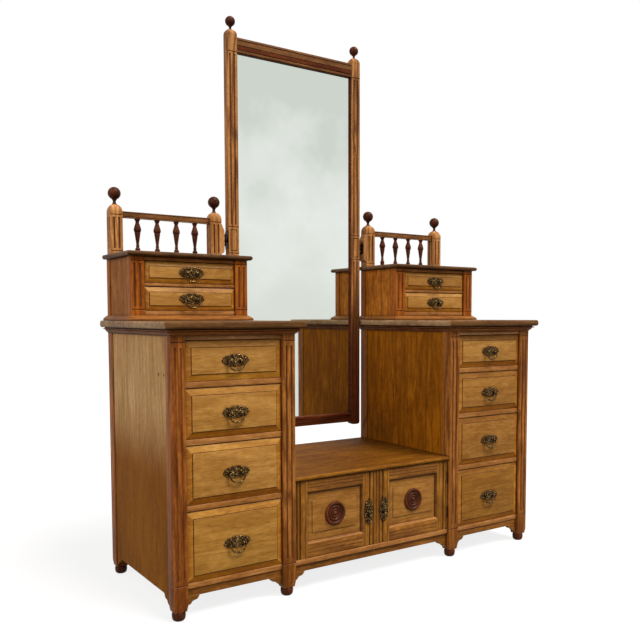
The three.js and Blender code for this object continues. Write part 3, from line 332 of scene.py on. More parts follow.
# painted light: the mirror stiles take paler shades from 700 mm up to 980 mm
mirror_upright = waxed_wood(
    "brown ash mirror stile, waxed", "z", "#80401c #642d10 #461c06 #301202 #c08a5a", figure=0.7,
    painted_light_above=(700, 980, "#c28950 #a96f39 #8e5523"), **STILE_CUT)
mirror_across = waxed_wood("brown ash mirror rail, waxed", "x", "#8e5e31 #734721 #512f11 #2b1003 #b0845a")
# painted light: the side panel turns paler from 380 mm up to 640 mm
side_upright = waxed_wood(
    "ash side, waxed, painted light toward the top", "z", "#8f5a13 #7f4a0c #623803 #3a1800 #9a6c3a", sheen=0.62, figure=0.22,
    shine=0.05, pores=(5, 140), pore_depth=0.3, patches=(60, 240),
    painted_light_above=(380, 640, "#d2a877 #be935f #a67a4e"), knots=((-721, -160, 706, 7), (-721, -201, 706, 6)))
box_side_upright = waxed_wood(
    "ash jewel box side, waxed", "z", "#b37639 #9d6333 #7a481b #3c1a05 #c0925e", shine=0.06, sheen=0.6,
    pores=(8, 160))
box_inner_upright = waxed_wood(
    "golden ash jewel box side, waxed", "z", "#c9822c #a5611b #6d3a10 #401a02 #c68d3e", shine=0.06, sheen=0.6,
    pores=(8, 160))
inner_upright = waxed_wood(
    "deep-toned ash inner side, waxed", "z", "#ad6b0f #965706 #703e02 #341400 #b8852a", figure=0.6,
    shine=0.06, sheen=0.6, pores=(10, 200))
slab_across = waxed_wood(
    "worn brown ash slab, waxed", "x", "#744f2a #613f1f #462a0f #2a1002 #8b6b42", wear=0.8,
    end_grain="#6e4f34 #a98862", shine=0.08)
box_lid_across = waxed_wood(
    "dark brown ash lid, waxed", "x", "#68482b #573a20 #3f2610 #200c02 #80603c", wear=0.8,
    end_grain="#4a3020 #77583c", shine=0.06)
cornice_across = waxed_wood(
    "dark ash cornice, waxed", "x", "#b9783a #a06029 #7c451a #260900 #c98a52", wear=0.8,
    end_grain="#472412 #744c32", shine=0.08)
box_base_across = waxed_wood(
    "golden ash base moulding, waxed", "x", "#9a6020 #824c14 #5f340a #3a1502 #b07c44", wear=0.6)
lid_across = waxed_wood(
    "red-brown ash cupboard top, waxed", "x", "#805017 #693f0c #4d2906 #2c1203 #9e682c", wear=0.8, sheen=0.55,
    shine=0.03)
lid_nose_across = waxed_wood(
    "rubbed ash nose of the cupboard top, waxed", "x", "#986320 #7d4e12 #5c340a #2c1203 #c08a50", wear=0.9,
    sheen=0.55, shine=0.05)
turned_dark = waxed_wood(
    "dark stained turned hardwood, polished", "z", "#663017 #4a220d #2c1005 #180602 #88512d", sheen=0.32,
    figure=0.2, wear=0.5, shine=0.07)
# painted shade: a darker finish along the floors of flutes and grooves
flute_shade = waxed_wood(
    "ash flute floor, painted shade", "z", "#8a5224 #6d3c14 #4d2508 #341200 #8a5224", patches=(14, 200))
dark_rail = waxed_wood(
    "dark red-brown ash mirror rail, polished", "x", "#70361a #59280e #3b1705 #2a0c02 #8c5230", shine=0.05)
lining_pine = waxed_wood(
    "bare drawer-lining pine, planed", "y", "#c9a273 #b58b58 #966b3b #5a3818 #d0ae80", sheen=0.66,
    figure=0.35, wear=0.2)
back_pine = waxed_wood(
    "bare backboard pine, sawn", "z", "#a6835a #8f6c46 #6f5030 #3c2410 #b0926c", sheen=0.7, figure=0.5,
    wear=0.2)
aged_brass = cast_brass("cast brass, aged", "#080402 #150b03 #2f1d0a #a58453", 0.4)
rubbed_brass = cast_brass("cast brass, rubbed by hands", "#080402 #180d03 #2b1a09 #947546", 0.34)
dark_iron = cast_brass("blackened hinge iron", "#0a0403 #140906 #211210 #4e332a", 0.45)
mirror_silver = silvered_glass()


# Shapes: each is points in millimetres and the faces between them
def quads(first, second, count):
    """The faces between two rings that start at these points."""
    return [[first + i, first + (i + 1) % count, second + (i + 1) % count, second + i] for i in range(count)]


def skin(rings):
    """Closed skin over rings that have the same number of points."""
    count = len(rings[0])
    points = [point for ring in rings for point in ring]
    faces = [list(range(count))[::-1], list(range(len(points) - count, len(points)))]
    for start in range(0, len(points) - count, count):
        faces += quads(start, start + count, count)
    return points, faces


def hoop(rings):
    """Skin over rings of which the last joins the first, round an opening."""
    count = len(rings[0])
    faces = []
    for k in range(len(rings)):
        faces += quads(count * k, count * ((k + 1) % len(rings)), count)
    return [point for ring in rings for point in ring], faces


def level_ring(x0, x1, y0, y1, z):
    return [(x0, y0, z), (x1, y0, z), (x1, y1, z), (x0, y1, z)]


def upright_ring(x0, x1, y, z0, z1):
    return [(x0, y, z0), (x1, y, z0), (x1, y, z1), (x0, y, z1)]


def board(x0, x1, y0, y1, z0, z1):
    return skin([level_ring(x0, x1, y0, y1, z) for z in (z0, z1)])


def side_board(side, x0, x1, depth0, depth1, z0, z1):
    return board(side * x0, side * x1, depth_at(depth0), depth_at(depth1), z0, z1)


def turned(profile, axis, at, steps=28):
    """Work turned on a lathe: radius and distance along the axis."""
    x, y, z = at
    rings = []
    for r, along in profile:
        ring = []
        for i in range(steps):
            a = 2 * math.pi * i / steps
            c, s = max(r, 0.02) * math.cos(a), max(r, 0.02) * math.sin(a)
            ring.append({"z": (x + c, y + s, z + along), "x": (x + along, y + c, z + s),
                         "-y": (x + c, y - along, z + s)}[axis])
        rings.append(ring)
    return skin(rings)


def smooth_line(points, steps=4):
    """A curve through marked points, for outlines and turned profiles."""
    line = []
    for i in range(len(points) - 1):
        before = points[max(i - 1, 0)]
        a, b = points[i], points[i + 1]
        after = points[min(i + 2, len(points) - 1)]
        for step in range(steps):
            t = step / steps
            line.append(tuple(
                0.5 * (2 * q + (r - p) * t + (2 * p - 5 * q + 4 * r - s) * t * t
                       + (3 * q - p - 3 * r + s) * t ** 3)
                for p, q, r, s in zip(before, a, b, after)))
    line.append(tuple(points[-1]))
    return line


def eased(outline, radius, steps=3):
    """An outline with its corners rounded."""
    rounded = []
    for i, corner in enumerate(outline):
        corner = Vector(corner)
        before = Vector(outline[i - 1]) - corner
        after = Vector(outline[(i + 1) % len(outline)]) - corner
        reach = min(radius, before.length / 2.2, after.length / 2.2)
        a, b = corner + before.normalized() * reach, corner + after.normalized() * reach
        for step in range(steps + 1):
            t = step / steps
            rounded.append(tuple(a * (1 - t) ** 2 + corner * 2 * t * (1 - t) + b * t * t))
    return rounded


def bar_along_x(outline, x0, x1):
    """An outline in y and z, run from one x to another."""
    return skin([[(x, y, z) for y, z in outline] for x in (x0, x1)])


def plate_along_y(outline, y0, y1):
    """An outline in x and z, cut through from one y to another."""
    return skin([[(x, y, z) for x, z in outline] for y in (y0, y1)])


def eased_bar(front, deep, low, high, radius, x0, x1, steps=3):
    """A bar with rounded edges, from one x to another."""
    outline = [(front, low), (front, high), (front + deep, high), (front + deep, low)]
    return bar_along_x(eased(outline, radius, steps), x0, x1)


def mirrored(side, outline):
    """An outline in x and z, drawn for the right and put on a side."""
    return [(side * x, z) for x, z in outline]


def rod(points, steps=10):
    """A round bar along points; each point is x, y, z and the bar's radius there."""
    rings = []
    across = None
    for i, point in enumerate(points):
        here = Vector(point[:3])
        ahead = Vector(points[min(i + 1, len(points) - 1)][:3]) - Vector(points[max(i - 1, 0)][:3])
        ahead.normalize()
        if across is None:
            across = ahead.orthogonal().normalized()
        across = (across - ahead * across.dot(ahead)).normalized()
        up = ahead.cross(across)
        turns = [2 * math.pi * k / steps for k in range(steps)]
        rings.append([tuple(here + (across * math.cos(a) + up * math.sin(a)) * point[3]) for a in turns])
    return skin(rings)


def make(name, shapes, finishes, body="chest", ease=0.0, sharp=34):
    """One piece from shapes; a shape may end with the number of its finish, or with one for each face."""
    points, faces, slots = [], [], []
    for shape in shapes:
        base = len(points)
        points += [tuple(c / 1000 for c in point) for point in shape[0]]
        faces += [[base + i for i in face] for face in shape[1]]
        slot = shape[2] if len(shape) > 2 else 0
        slots += slot if isinstance(slot, list) else [slot] * len(shape[1])
    mesh = bpy.data.meshes.new(name)
    mesh.from_pydata(points, [], faces)
    mesh.polygons.foreach_set("material_index", slots)
    for finish in finishes:
        mesh.materials.append(finish)
    work = bmesh.new()
    work.from_mesh(mesh)
    bmesh.ops.recalc_face_normals(work, faces=work.faces)
    for face in work.faces:
        face.smooth = True
    for edge in work.edges:
        edge.smooth = edge.calc_face_angle(0) < math.radians(sharp)
    work.to_mesh(mesh)
    work.free()
    piece = bpy.data.objects.new(name, mesh)
    bpy.context.collection.objects.link(piece)
    if ease:
        round_edges = piece.modifiers.new("eased edges", "BEVEL")
        round_edges.width = ease / 1000
        round_edges.segments = 2
        round_edges.limit_method = "ANGLE"
        round_edges.angle_limit = math.radians(40)
        round_edges.harden_normals = True
    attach(piece, body)
    return piece


# Fluted stiles
FLUTE = 3.0
FLUTE_SECTION = [(-1.3, 0), (-1.05, 0.1), (-0.85, 0.5), (-0.5, 0.86), (0, 1), (0.5, 0.86), (0.85, 0.5),
                 (1.05, 0.1), (1.3, 0)]
LINE_SECTION = [(-2.2, 0), (-1.4, 0.8), (-0.5, 2), (0.5, 2), (1.4, 0.8), (2.2, 0)]
FLUTE_SHARES = (0.3, 0.7)
# Panel outlined by a groove in the mirror stile round its pivot
PANEL_HALF = 38.5
PANEL_INSET = 7
PANEL_GROOVE = 2.8
PANEL_DEPTH = 2.6
GROOVE_STEPS = (0, 0.25, 0.75, 1)


def flute_opening(z, low, high, radius=FLUTE):
    """How far open a round-ended flute is at a height, from 0 to 1."""
    into = min(z - low, high - z) / radius
    return 0 if into <= 0 else 1 if into >= 1 else math.sqrt(1 - (1 - into) ** 2)


def line_dip(z, lines):
    """Depth of a cut line at a height."""
    dip = 0.0
    for line in lines:
        off = z - line
        for (a, deep_a), (b, deep_b) in zip(LINE_SECTION, LINE_SECTION[1:]):
            if a <= off <= b:
                dip = max(dip, deep_a + (deep_b - deep_a) * (off - a) / (b - a))
    return dip


def face_line(start, end, flutes, opening, corner, sunk):
    """Points across one face of a stile: place along it and depth into it; sunk is how deep a panel's
    groove and its middle lie."""
    span = abs(end - start)
    marks = [(corner, 0.0)]
    if sunk and flutes:
        groove, middle = sunk
        deeps = [groove * k / 2 if k < 2 else groove + (middle - groove) * max(k - 6, 0) / 2
                 for k in range(9)]
        wall = [(PANEL_INSET + PANEL_GROOVE * k / 8, deep) for k, deep in enumerate(deeps)]
        return marks + wall + [(span - t, deep) for t, deep in wall[::-1]] + [(span - corner, 0.0)]
    for share in flutes:
        marks += [(share * span + off * FLUTE, deep * FLUTE * opening) for off, deep in FLUTE_SECTION]
    return marks + [(span - corner, 0.0)]


def stile_ring(z, box, faces, dip_front, opening, corner=1.2, sunk=None):
    """Level outline of a stile with rounded arrises and flutes in the faces named."""
    x0, x1, y0, y1 = box
    walls = {
        "front": (x0, x1, lambda t, d: (x0 + t, y0 + dip_front + d)),
        "right": (y0, y1, lambda t, d: (x1 - d, y0 + t)),
        "back": (x0, x1, lambda t, d: (x1 - t, y1 - d)),
        "left": (y0, y1, lambda t, d: (x0 + d, y1 - t)),
    }
    ring = []
    for wall, (start, end, place) in walls.items():
        flutes = FLUTE_SHARES if wall in faces else ()
        marks = face_line(start, end, flutes, opening, corner, sunk)
        # the arris before this face, halfway round its curve
        ring.append(place(corner * 0.3, corner * 0.3))
        ring += [place(t, d) for t, d in marks]
    return [(x, y, z) for x, y in ring]


def floor_steps(faces):
    """Which steps of a stile's level outline run along the floors of its flutes."""
    steps, at = set(), 0
    for wall in ("front", "right", "back", "left"):
        at += 1
        for _ in FLUTE_SHARES if wall in faces else ():
            steps.update(at + step for step in (3, 4, 5, 6))
            at += len(FLUTE_SECTION)
        at += 2
    return steps


def stile_slots(rings, openings, faces, finish, waxed, bands=()):
    """A finish for each face of a stile: painted shade lies along the floors of its flutes, and right across
    between the rings that bands name."""
    floors = floor_steps(faces)
    front_end = 2 * len(FLUTE_SECTION) + 2
    across = range(min(floors), max(step for step in floors if step < front_end) + 1)
    slots = [finish, finish]
    for k in range(len(rings) - 1):
        fluted = min(openings[k], openings[k + 1]) > 0.4
        slots += [waxed if fluted and i in floors or k in bands and i in across else finish
                  for i in range(len(rings[0]))]
    return slots


def heights(low, high, flutes, lines, extra=()):
    """The levels at which a stile's outline changes."""
    levels = {low, high, *extra}
    for start, end in flutes:
        for share in (0, 0.15, 0.5, 1):
            levels.update([start + share * FLUTE, end - share * FLUTE])
    for line in lines:
        levels.update(line + off for off, _ in LINE_SECTION)
    return sorted(level for level in levels if low <= level <= high)


def rounding(share):
    """How far a quarter circle has drawn in at a share of its height, as a share of its radius."""
    return 1 - math.sqrt(max(1 - share * share, 0.0))


def fluted_stile(x0, x1, y0, y1, low, high, flutes=(), lines=(), faces=("front",), taper=None, arch=None,
                 foot=0, panel=None, finish=0, waxed=1):
    """A stile standing between two levels; taper is (level where it starts, inset at the foot), arch is the
    levels where a rounded head springs and ends, foot is the radius of a rounded foot, and panel is the
    levels of a panel that a groove outlines; finish is its own and waxed is that of its flute floors, painted
    shade on most stiles."""
    x0, x1 = min(x0, x1), max(x0, x1)
    y0, y1 = min(y0, y1), max(y0, y1)
    extra = [taper[0]] if taper else []
    if arch:
        spring, crown = arch
        extra += [spring + (crown - spring) * math.sin(a * math.pi / 20) for a in range(10)]
    if foot:
        extra += [low + foot * share for share in (0.3, 0.6, 1)]
    if panel:
        extra += [panel[0] + share * PANEL_GROOVE for share in GROOVE_STEPS]
        extra += [panel[1] - share * PANEL_GROOVE for share in GROOVE_STEPS]
    rings, openings, bands = [], [], set()
    for z in heights(low, high, flutes, lines, extra):
        inset_x = inset_y = 0.0
        if taper and z < taper[0]:
            inset_x = inset_y = taper[1] * (taper[0] - z) / (taper[0] - low)
        if foot and z < low + foot:
            inset_x = foot * rounding((low + foot - z) / foot)
        if arch and z > spring:
            shrink = rounding((z - spring) / (crown - spring))
            inset_x, inset_y = (x1 - x0) / 2 * shrink, (y1 - y0) / 2 * shrink
        opening = max([flute_opening(z, start, end) for start, end in flutes] or [0])
        box = (x0 + inset_x, x1 - inset_x, y0 + inset_y, y1 - inset_y)
        # the groove goes down within a quarter of its width, and so up again to the middle
        into = min(z - panel[0], panel[1] - z) / PANEL_GROOVE if panel else -1
        groove = PANEL_DEPTH * min(into * 4, 1)
        sunk = (groove, min(groove, PANEL_DEPTH * max((1 - into) * 4, 0))) if into >= 0 else None
        if 0.1 < into < 0.9:
            bands.add(len(rings))
        rings.append(stile_ring(z, box, faces, line_dip(z, lines), opening, sunk=sunk))
        openings.append(1 if into > 0.1 else opening)
    bands = {k for k in bands if k + 1 in bands}
    return *skin(rings), stile_slots(rings, openings, faces, finish, waxed, bands)


def stop_flutes(lines, stop):
    """The one flute between two cut lines, stopped short of both."""
    return [(lines[0] + stop, lines[-1] - stop)]


# Mouldings: height above the bed, step out from the carcass
CORNICE = [(0.3, 1.5), (3.4, 1.5), (3.5, 4.4)] + smooth_line([
    (3.6, 4.8), (5.6, 5.6), (7.8, 7.4), (9.6, 10.4)], 2)
CORNICE += [(9.8, 12.4), (10, 8.6), (11.8, 8.6)] + smooth_line([
    (12, 12.4), (12.8, 14.6), (14, 15.5), (15.4, 15), (16.2, 13)], 2) + [(16.4, 10.5), (19, 10.5)]
SLAB = [(18.8, 19)] + smooth_line([
    (19.3, 21.4), (21.2, 24.2), (25, 25.8), (30, 25.97), (34.5, 25.8), (38, 24.5), (40.2, 22.8),
    (41, 20.6)], 2)
BOX_BASE = [(0, 14), (0.5, 15)] + smooth_line([
    (4.6, 15), (6.6, 14.4), (8.4, 12.4), (10, 10.2), (12, 8), (13.6, 5.2), (14.8, 3.4), (16.2, 2)], 2)
BOX_LID = [(0, 9)] + smooth_line([
    (0.8, 10.4), (2.4, 12.4), (4.6, 13.7), (7.4, 14), (10.4, 13.6), (12.8, 12), (14.2, 10), (14.7, 8)], 2)


def moulded(side, front, bed, profile):
    """Mitred moulding round the front and both ends, flush at the back."""
    x0, x1 = sorted((side * INNER, side * OUTER))
    return skin([level_ring(x0 - out, x1 + out, depth_at(front + out), BACK_PLANE, bed + up)
                 for up, out in profile])


# Cusped bracket under an apron: shares of its width from the leg and of its height up
BRACKET = [(0, 0), (0.06, 0.1), (0.16, 0.2), (0.24, 0.22), (0.3, 0.26), (0.36, 0.38), (0.42, 0.48),
           (0.52, 0.54), (0.66, 0.58), (0.76, 0.63), (0.84, 0.74), (0.88, 0.86), (0.92, 0.94), (1, 1)]


def bracket(root, direction, high, width=44, height=31):
    """Outline of one cusped bracket from the leg outward."""
    curve = [(root + direction * along * width, high - height + up * height) for along, up in BRACKET]
    return [(root, high - height), *curve[1:], (root + direction * width, high + 1), (root, high + 1)]


def apron(name, side, x0, x1, depth, over):
    """An apron between two legs, let into each by over, with a cusped bracket at both ends."""
    front = depth_at(depth)
    shapes = [board(side * (x0 - over), side * (x1 + over), front, front + 16, APRON_LOW, APRON_TOP)]
    for root, along in ((x0, 1), (x1, -1)):
        outline = mirrored(side, bracket(root, along, APRON_LOW + 0.5))
        shapes.append(plate_along_y(outline, front + 0.01, front + 15.9))
    make(name, shapes, [apron_across], ease=0.5)


def back_boards(name, side, x0, x1, count, low, high, hair=0.4):
    """A back of upright boards with a hair of shadow beside each."""
    width = (x1 - x0) / count
    starts = [x0 + i * width for i in range(count)]
    make(name, [side_board(side, start + hair, start + width - hair, 6, 14, low, high) for start in starts],
         [back_pine], ease=0.8)


# Pedestals
def bun_foot(x, y):
    profile = [(0, 0), (9, 0)] + smooth_line([
        (13, 0.6), (16.6, 3), (18.8, 7), (19.8, 13), (20, 18), (19.4, 23), (17.4, 26), (15, 28)], 2)
    return turned(profile + [(0, 28.4)], "z", (x, y, 0))


def pedestal(word, side):
    stiles, feet, lining = [], [], []
    lines = [RAIL_TOPS[-1] - 1, CARCASS_TOP - 19]
    flutes = stop_flutes(lines, PEDESTAL_STOP)
    front_back = PEDESTAL_DEPTH - STILE
    left, right = INNER + STILE, OUTER - STILE
    for x0, x1 in ((INNER, left), (right, OUTER)):
        # the two stiles on the left end are of redder wood, with no painted shade in their flutes
        finish, waxed = (0, 0) if side < 0 and x0 > MIDDLE else (1, 2)
        for depth0, depth1, cuts in ((front_back, PEDESTAL_DEPTH, (flutes, lines)), (0, STILE, ())):
            stiles.append(fluted_stile(
                side * x0, side * x1, depth_at(depth1), depth_at(depth0), LEG_FOOT, CARCASS_TOP, *cuts,
                taper=(46, 3), finish=finish, waxed=waxed))
            feet.append(bun_foot(side * (x0 + x1) / 2, depth_at((depth0 + depth1) / 2)))
    frame_piece = make(
        f"pedestal_stiles_{word}", stiles, [stile_upright, pale_stile_upright, flute_shade], sharp=40)
    make(f"pedestal_feet_{word}", feet, [turned_dark])
    for where, face, into, finish in (("outer", OUTER, -1, side_upright), ("inner", INNER, 1, inner_upright)):
        x0, x1 = face + into * PANEL_OUT, face + into * PANEL_IN
        panels = [side_board(side, x0, x1, STILE - LET_IN, front_back + LET_IN, APRON_LOW, CARCASS_TOP - 0.2)]
        for depth, forward in ((STILE, 1), (front_back, -1)):
            outline = [(depth_at(d), z) for d, z in bracket(depth, forward, APRON_LOW + 0.5)]
            panels.append(bar_along_x(outline, side * (x0 + 0.01 * into), side * (x1 - 0.01 * into)))
        make(f"pedestal_side_{where}_{word}", panels, [finish], ease=0.6)
    spans = [(top - (RAIL if top > RAIL_TOPS[-1] else BOTTOM_RAIL), top) for top in RAIL_TOPS]
    x0, x1 = side * (left - LET_IN), side * (right + LET_IN)
    rails = [eased_bar(depth_at(PEDESTAL_DEPTH - 10), 40, low, high, 2.4, x0, x1)
             for low, high in [*spans, (CARCASS_TOP - 13, CARCASS_TOP)]]
    make(f"pedestal_top_rail_{word}", [rails.pop()], [lit_top_rail], ease=0.5)
    make(f"pedestal_rails_{word}", rails, [rail_across], ease=0.5)
    apron(f"pedestal_apron_{word}", side, left, right, PEDESTAL_DEPTH - 14, LET_IN)
    for top in RAIL_TOPS:
        for wall, guide, bearing in (
                (INNER + RUNNER_START, left - GAP, left + 15),
                (OUTER - RUNNER_START, right + GAP, right - 15)):
            outline = [(wall, top - RAIL), (bearing, top - RAIL), (bearing, top), (guide, top),
                       (guide, top + 12), (wall, top + 12)]
            lining.append(plate_along_y(
                mirrored(side, outline), depth_at(STILE - LET_IN), depth_at(front_back + LET_IN)))
    make(f"pedestal_runners_{word}", lining, [lining_pine], ease=0.4)
    back_boards(f"pedestal_back_{word}", side, left - LET_IN, right + LET_IN, 3, APRON_LOW, CARCASS_TOP - 0.5)
    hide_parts(f"pedestal_carcass_{word}")
    top = make(f"pedestal_slab_{word}", [moulded(side, PEDESTAL_DEPTH, CARCASS_TOP, SLAB)], [slab_across])
    make(f"pedestal_cornice_{word}", [moulded(side, PEDESTAL_DEPTH, CARCASS_TOP, CORNICE)], [cornice_across])
    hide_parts(f"pedestal_top_{word}")


# Jewel boxes and galleries
def jewel_box(word, side):
    moulding = moulded(side, BOX_DEPTH, SLAB_TOP + GAP, BOX_BASE)
    base = make(f"jewel_box_base_{word}", [moulding], [box_base_across])
    left, right = INNER + BOX_STILE, OUTER - BOX_STILE
    lines = [BOX_RAIL_TOPS[-1] + 4, BOX_TOP - 15]
    low = BOX_BASE_TOP - 0.8
    stiles, panels, lining = [], [], []
    for x0, x1 in ((INNER, left), (right, OUTER)):
        for depth, cuts in ((BOX_DEPTH, (stop_flutes(lines, STOP), lines)), (30, ())):
            stiles.append(fluted_stile(
                side * x0, side * x1, depth_at(depth), depth_at(depth - 30), low, BOX_TOP, *cuts))
    make(f"jewel_box_stiles_{word}", stiles, [box_stile_upright, flute_shade], sharp=40)
    for face, into, finish in ((OUTER, -1, 0), (INNER, 1, 1)):
        panels.append((*side_board(
            side, face + into * PANEL_OUT, face + into * PANEL_IN, 29.5, BOX_DEPTH - 29.5, low,
            BOX_TOP - 0.2), finish))
        for top in BOX_RAIL_TOPS:
            lining.append(side_board(
                side, face + into * RUNNER_START, face + into * (BOX_STILE + 10), 29.5, BOX_DEPTH - 29.5,
                top - 10, top))
    make(f"jewel_box_sides_{word}", panels, [box_side_upright, box_inner_upright], ease=0.6)
    x0, x1 = side * (left - LET_IN), side * (right + LET_IN)
    rails = [eased_bar(depth_at(BOX_DEPTH - 7), 25, z0, z1, 1.8, x0, x1)
             for z0, z1 in ((BOX_TOP - 12.5, BOX_TOP), (BOX_RAIL_TOPS[0] - 10, BOX_RAIL_TOPS[0]),
                            (low, BOX_RAIL_TOPS[1]))]
    make(f"jewel_box_rails_{word}", rails, [rail_across])
    make(f"jewel_box_runners_{word}", lining, [lining_pine], ease=0.4)
    back_boards(f"jewel_box_back_{word}", side, left - LET_IN, right + LET_IN, 1, low, BOX_TOP - 0.5, hair=0)
    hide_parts(f"jewel_box_{word}")
    lid = make(f"jewel_box_lid_{word}", [moulded(side, BOX_DEPTH, BOX_TOP + GAP, BOX_LID)], [box_lid_across])
    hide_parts(f"jewel_box_top_{word}")


# Neck under a ball finial: radius and height, as shares of the ball's radius, up from its centre
BALL = [(0.46, -1.8), (0.36, -1.66), (0.26, -1.5), (0.23, -1.34), (0.25, -1.18), (0.34, -1.02)]


def ball_finial(x, y, radius, centre):
    profile = [(0, centre - 1.82 * radius)] + [(r * radius, centre + z * radius) for r, z in BALL]
    turns = [math.radians(-64 + 154 * i / 14) for i in range(15)]
    profile += [(radius * math.cos(a), centre + radius * math.sin(a)) for a in turns]
    return turned(profile, "z", (x, y, 0), 36)


# Spindle going up: shares of its height and of its greatest radius
SPINDLE_RADIUS = 12.5
SPINDLE = [(0, 0.8), (0.03, 0.84), (0.06, 0.76), (0.09, 0.62), (0.13, 0.66), (0.16, 0.68), (0.177, 0.7),
           (0.202, 0.64), (0.227, 0.44), (0.252, 0.4), (0.269, 0.46), (0.29, 0.46), (0.307, 0.36),
           (0.328, 0.38), (0.446, 0.54), (0.546, 0.69), (0.63, 0.81), (0.643, 0.78), (0.656, 0.86),
           (0.672, 0.97), (0.698, 1), (0.723, 0.99), (0.748, 0.93), (0.782, 0.84), (0.807, 0.74),
           (0.832, 0.68), (0.861, 0.6), (0.887, 0.5), (0.908, 0.48), (0.924, 0.52), (0.95, 0.63),
           (0.975, 0.74), (1, 0.86)]
SPINDLE_PLACES = (0.17, 0.387, 0.605, 0.823)


def gallery(word, side):
    z0 = BOX_LID_TOP + GAP
    y_front, y_back = depth_at(POST_DEPTH + POST / 2), depth_at(POST_DEPTH - POST / 2)
    middle = depth_at(POST_DEPTH)
    lines = [BOX_LID_TOP + 13, BOX_LID_TOP + 132]
    flutes = stop_flutes(lines, STOP)
    outer_post = OUTER - OUTER_POST_INSET - POST
    posts, balls, spindles = [], [], []
    for x0 in (INNER, outer_post):
        posts.append(fluted_stile(
            side * x0, side * (x0 + POST), y_front, y_back, z0, POST_CROWN - 0.4, flutes, lines,
            faces=("front", "left", "right"), arch=(POST_CROWN - 26, POST_CROWN)))
        balls.append(ball_finial(side * (x0 + POST / 2), middle, 21, 1280.5))
    # shaped block that carries the mirror
    low, high, face = BOX_LID_TOP + 20, BOX_LID_TOP + 129, INNER - BLOCK_PROUD
    outline = [(INNER + 1, low), (INNER, low)] + smooth_line([
        (INNER - 3, low + 2), (INNER - 8, low + 5), (face, low + 11.5)], 3) + smooth_line([
            (face, high - 25), (face + 1.6, high - 19), (INNER - 6.6, high - 15), (INNER - 4.4, high - 8),
            (INNER, high)], 3) + [(INNER + 1, high)]
    posts.append(plate_along_y(mirrored(side, outline), y_front + 2, y_back - 2))
    frame_piece = make(f"gallery_posts_{word}", posts, [post_upright, flute_shade], sharp=40)
    make(f"gallery_finials_{word}", balls, [turned_dark])
    left, right = INNER + POST, outer_post
    low = BOX_LID_TOP + 125
    face = [(8.5, 0), (8.5, 3), (6.9, 4), (8.2, 5.2), (8.2, 15.8), (6.9, 17), (8.5, 18), (8.5, 21)]
    outline = [(middle - out, low + up) for out, up in face]
    outline += [(middle + out, low + up) for out, up in face[::-1]]
    rail = bar_along_x(outline, side * (left - LET_IN), side * (right + LET_IN))
    make(f"gallery_rail_{word}", [rail], [mirror_across])
    head = low + LET_IN
    profile = [(wide * SPINDLE_RADIUS, z0 + up * (head - z0)) for up, wide in SPINDLE]
    profile = [(0, z0), *profile, (0, head)]
    for share in SPINDLE_PLACES:
        spindles.append(turned(profile, "z", (side * (left + (right - left) * share), middle, 0)))
    make(f"gallery_spindles_{word}", spindles, [turned_dark])
    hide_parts(f"gallery_{word}")


# Drawers and their brass; some fronts take darker copies of the front finish, painted shade on the right-hand
# drawers and the bottom left one
SHADED_FRONTS = {
    "drawer_left_4": shaded_bottom_front, "drawer_right_2": shaded_front, "drawer_right_3": shaded_front,
    "drawer_right_4": darker_shaded_front, "jewel_drawer_right_1": shaded_front}
# Rings of four points that a drawer front is built from: where the quirk and where the field begins
QUIRK_START = 4 * 4
FIELD_START = 4 * 7


def drawer(name, centre, width, z0, z1, plane, thick, bevel):
    body = f"{name}_body"
    x0, x1 = centre - width / 2, centre + width / 2
    # bevel rises to a sunk quirk, then the field stands up with a rounded arris
    rise = [(plane - thick, 0.2), (plane - 0.9, 0), (plane - 0.2, 0.25), (plane + 0.2, 0.9),
            (plane + 5.5, bevel - 1.4), (plane + 5.7, bevel - 0.8), (plane + 5.1, bevel - 0.2),
            (plane + 5.2, bevel + 0.4), (plane + 7.3, bevel + 0.8), (plane + 7.85, bevel + 1.3),
            (plane + 8, bevel + 2.2)]
    points, faces = skin([upright_ring(x0 + inset, x1 - inset, depth_at(depth), z0 + inset, z1 - inset)
                          for depth, inset in rise])
    # the bevel keeps its old varnish, the field is worn to the wood; upper and lower bevels take lit and
    # shaded copies of the bevel finish as painted light and painted shade
    # after the two end faces the rest go round: low, right, high and left
    slots = [0 if min(face) >= FIELD_START else 4 if min(face) >= QUIRK_START else (3, 1, 2, 1)[(i - 2) % 4]
             for i, face in enumerate(faces)]
    # painted light on the upper bevels, painted shade on those of the right pedestal's drawers; painted shade
    # on the lower bevels, painted light on those of the jewel drawers and the top left drawer
    above = bevel_shaded if name.startswith("drawer_right") else lit_upper_bevel
    below = lit_lower_bevel if name.startswith("jewel") or name == "drawer_left_1" else shaded_lower_bevel
    front_piece = make(
        f"{name}_front", [(points, faces, slots)],
        [SHADED_FRONTS.get(name, honey_front), bevel_across, above, below, quirk_dark], body, sharp=12)
    y_front, y_back = depth_at(plane - thick + 0.6), depth_at(DRAWER_BACK)
    high = z1 - 6
    lining = [
        board(x0, x0 + 10, y_front, y_back, z0 + 0.2, high),
        board(x1 - 10, x1, y_front, y_back, z0 + 0.2, high),
        board(x0 + 9.5, x1 - 9.5, y_back - 10, y_back - 0.2, z0 + 4, high - 3),
        board(x0 + 9.5, x1 - 9.5, y_front, y_back - 1, z0 + 4, z0 + 10)]
    make(f"{name}_box", lining, [lining_pine], body, ease=0.6)
    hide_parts(name)


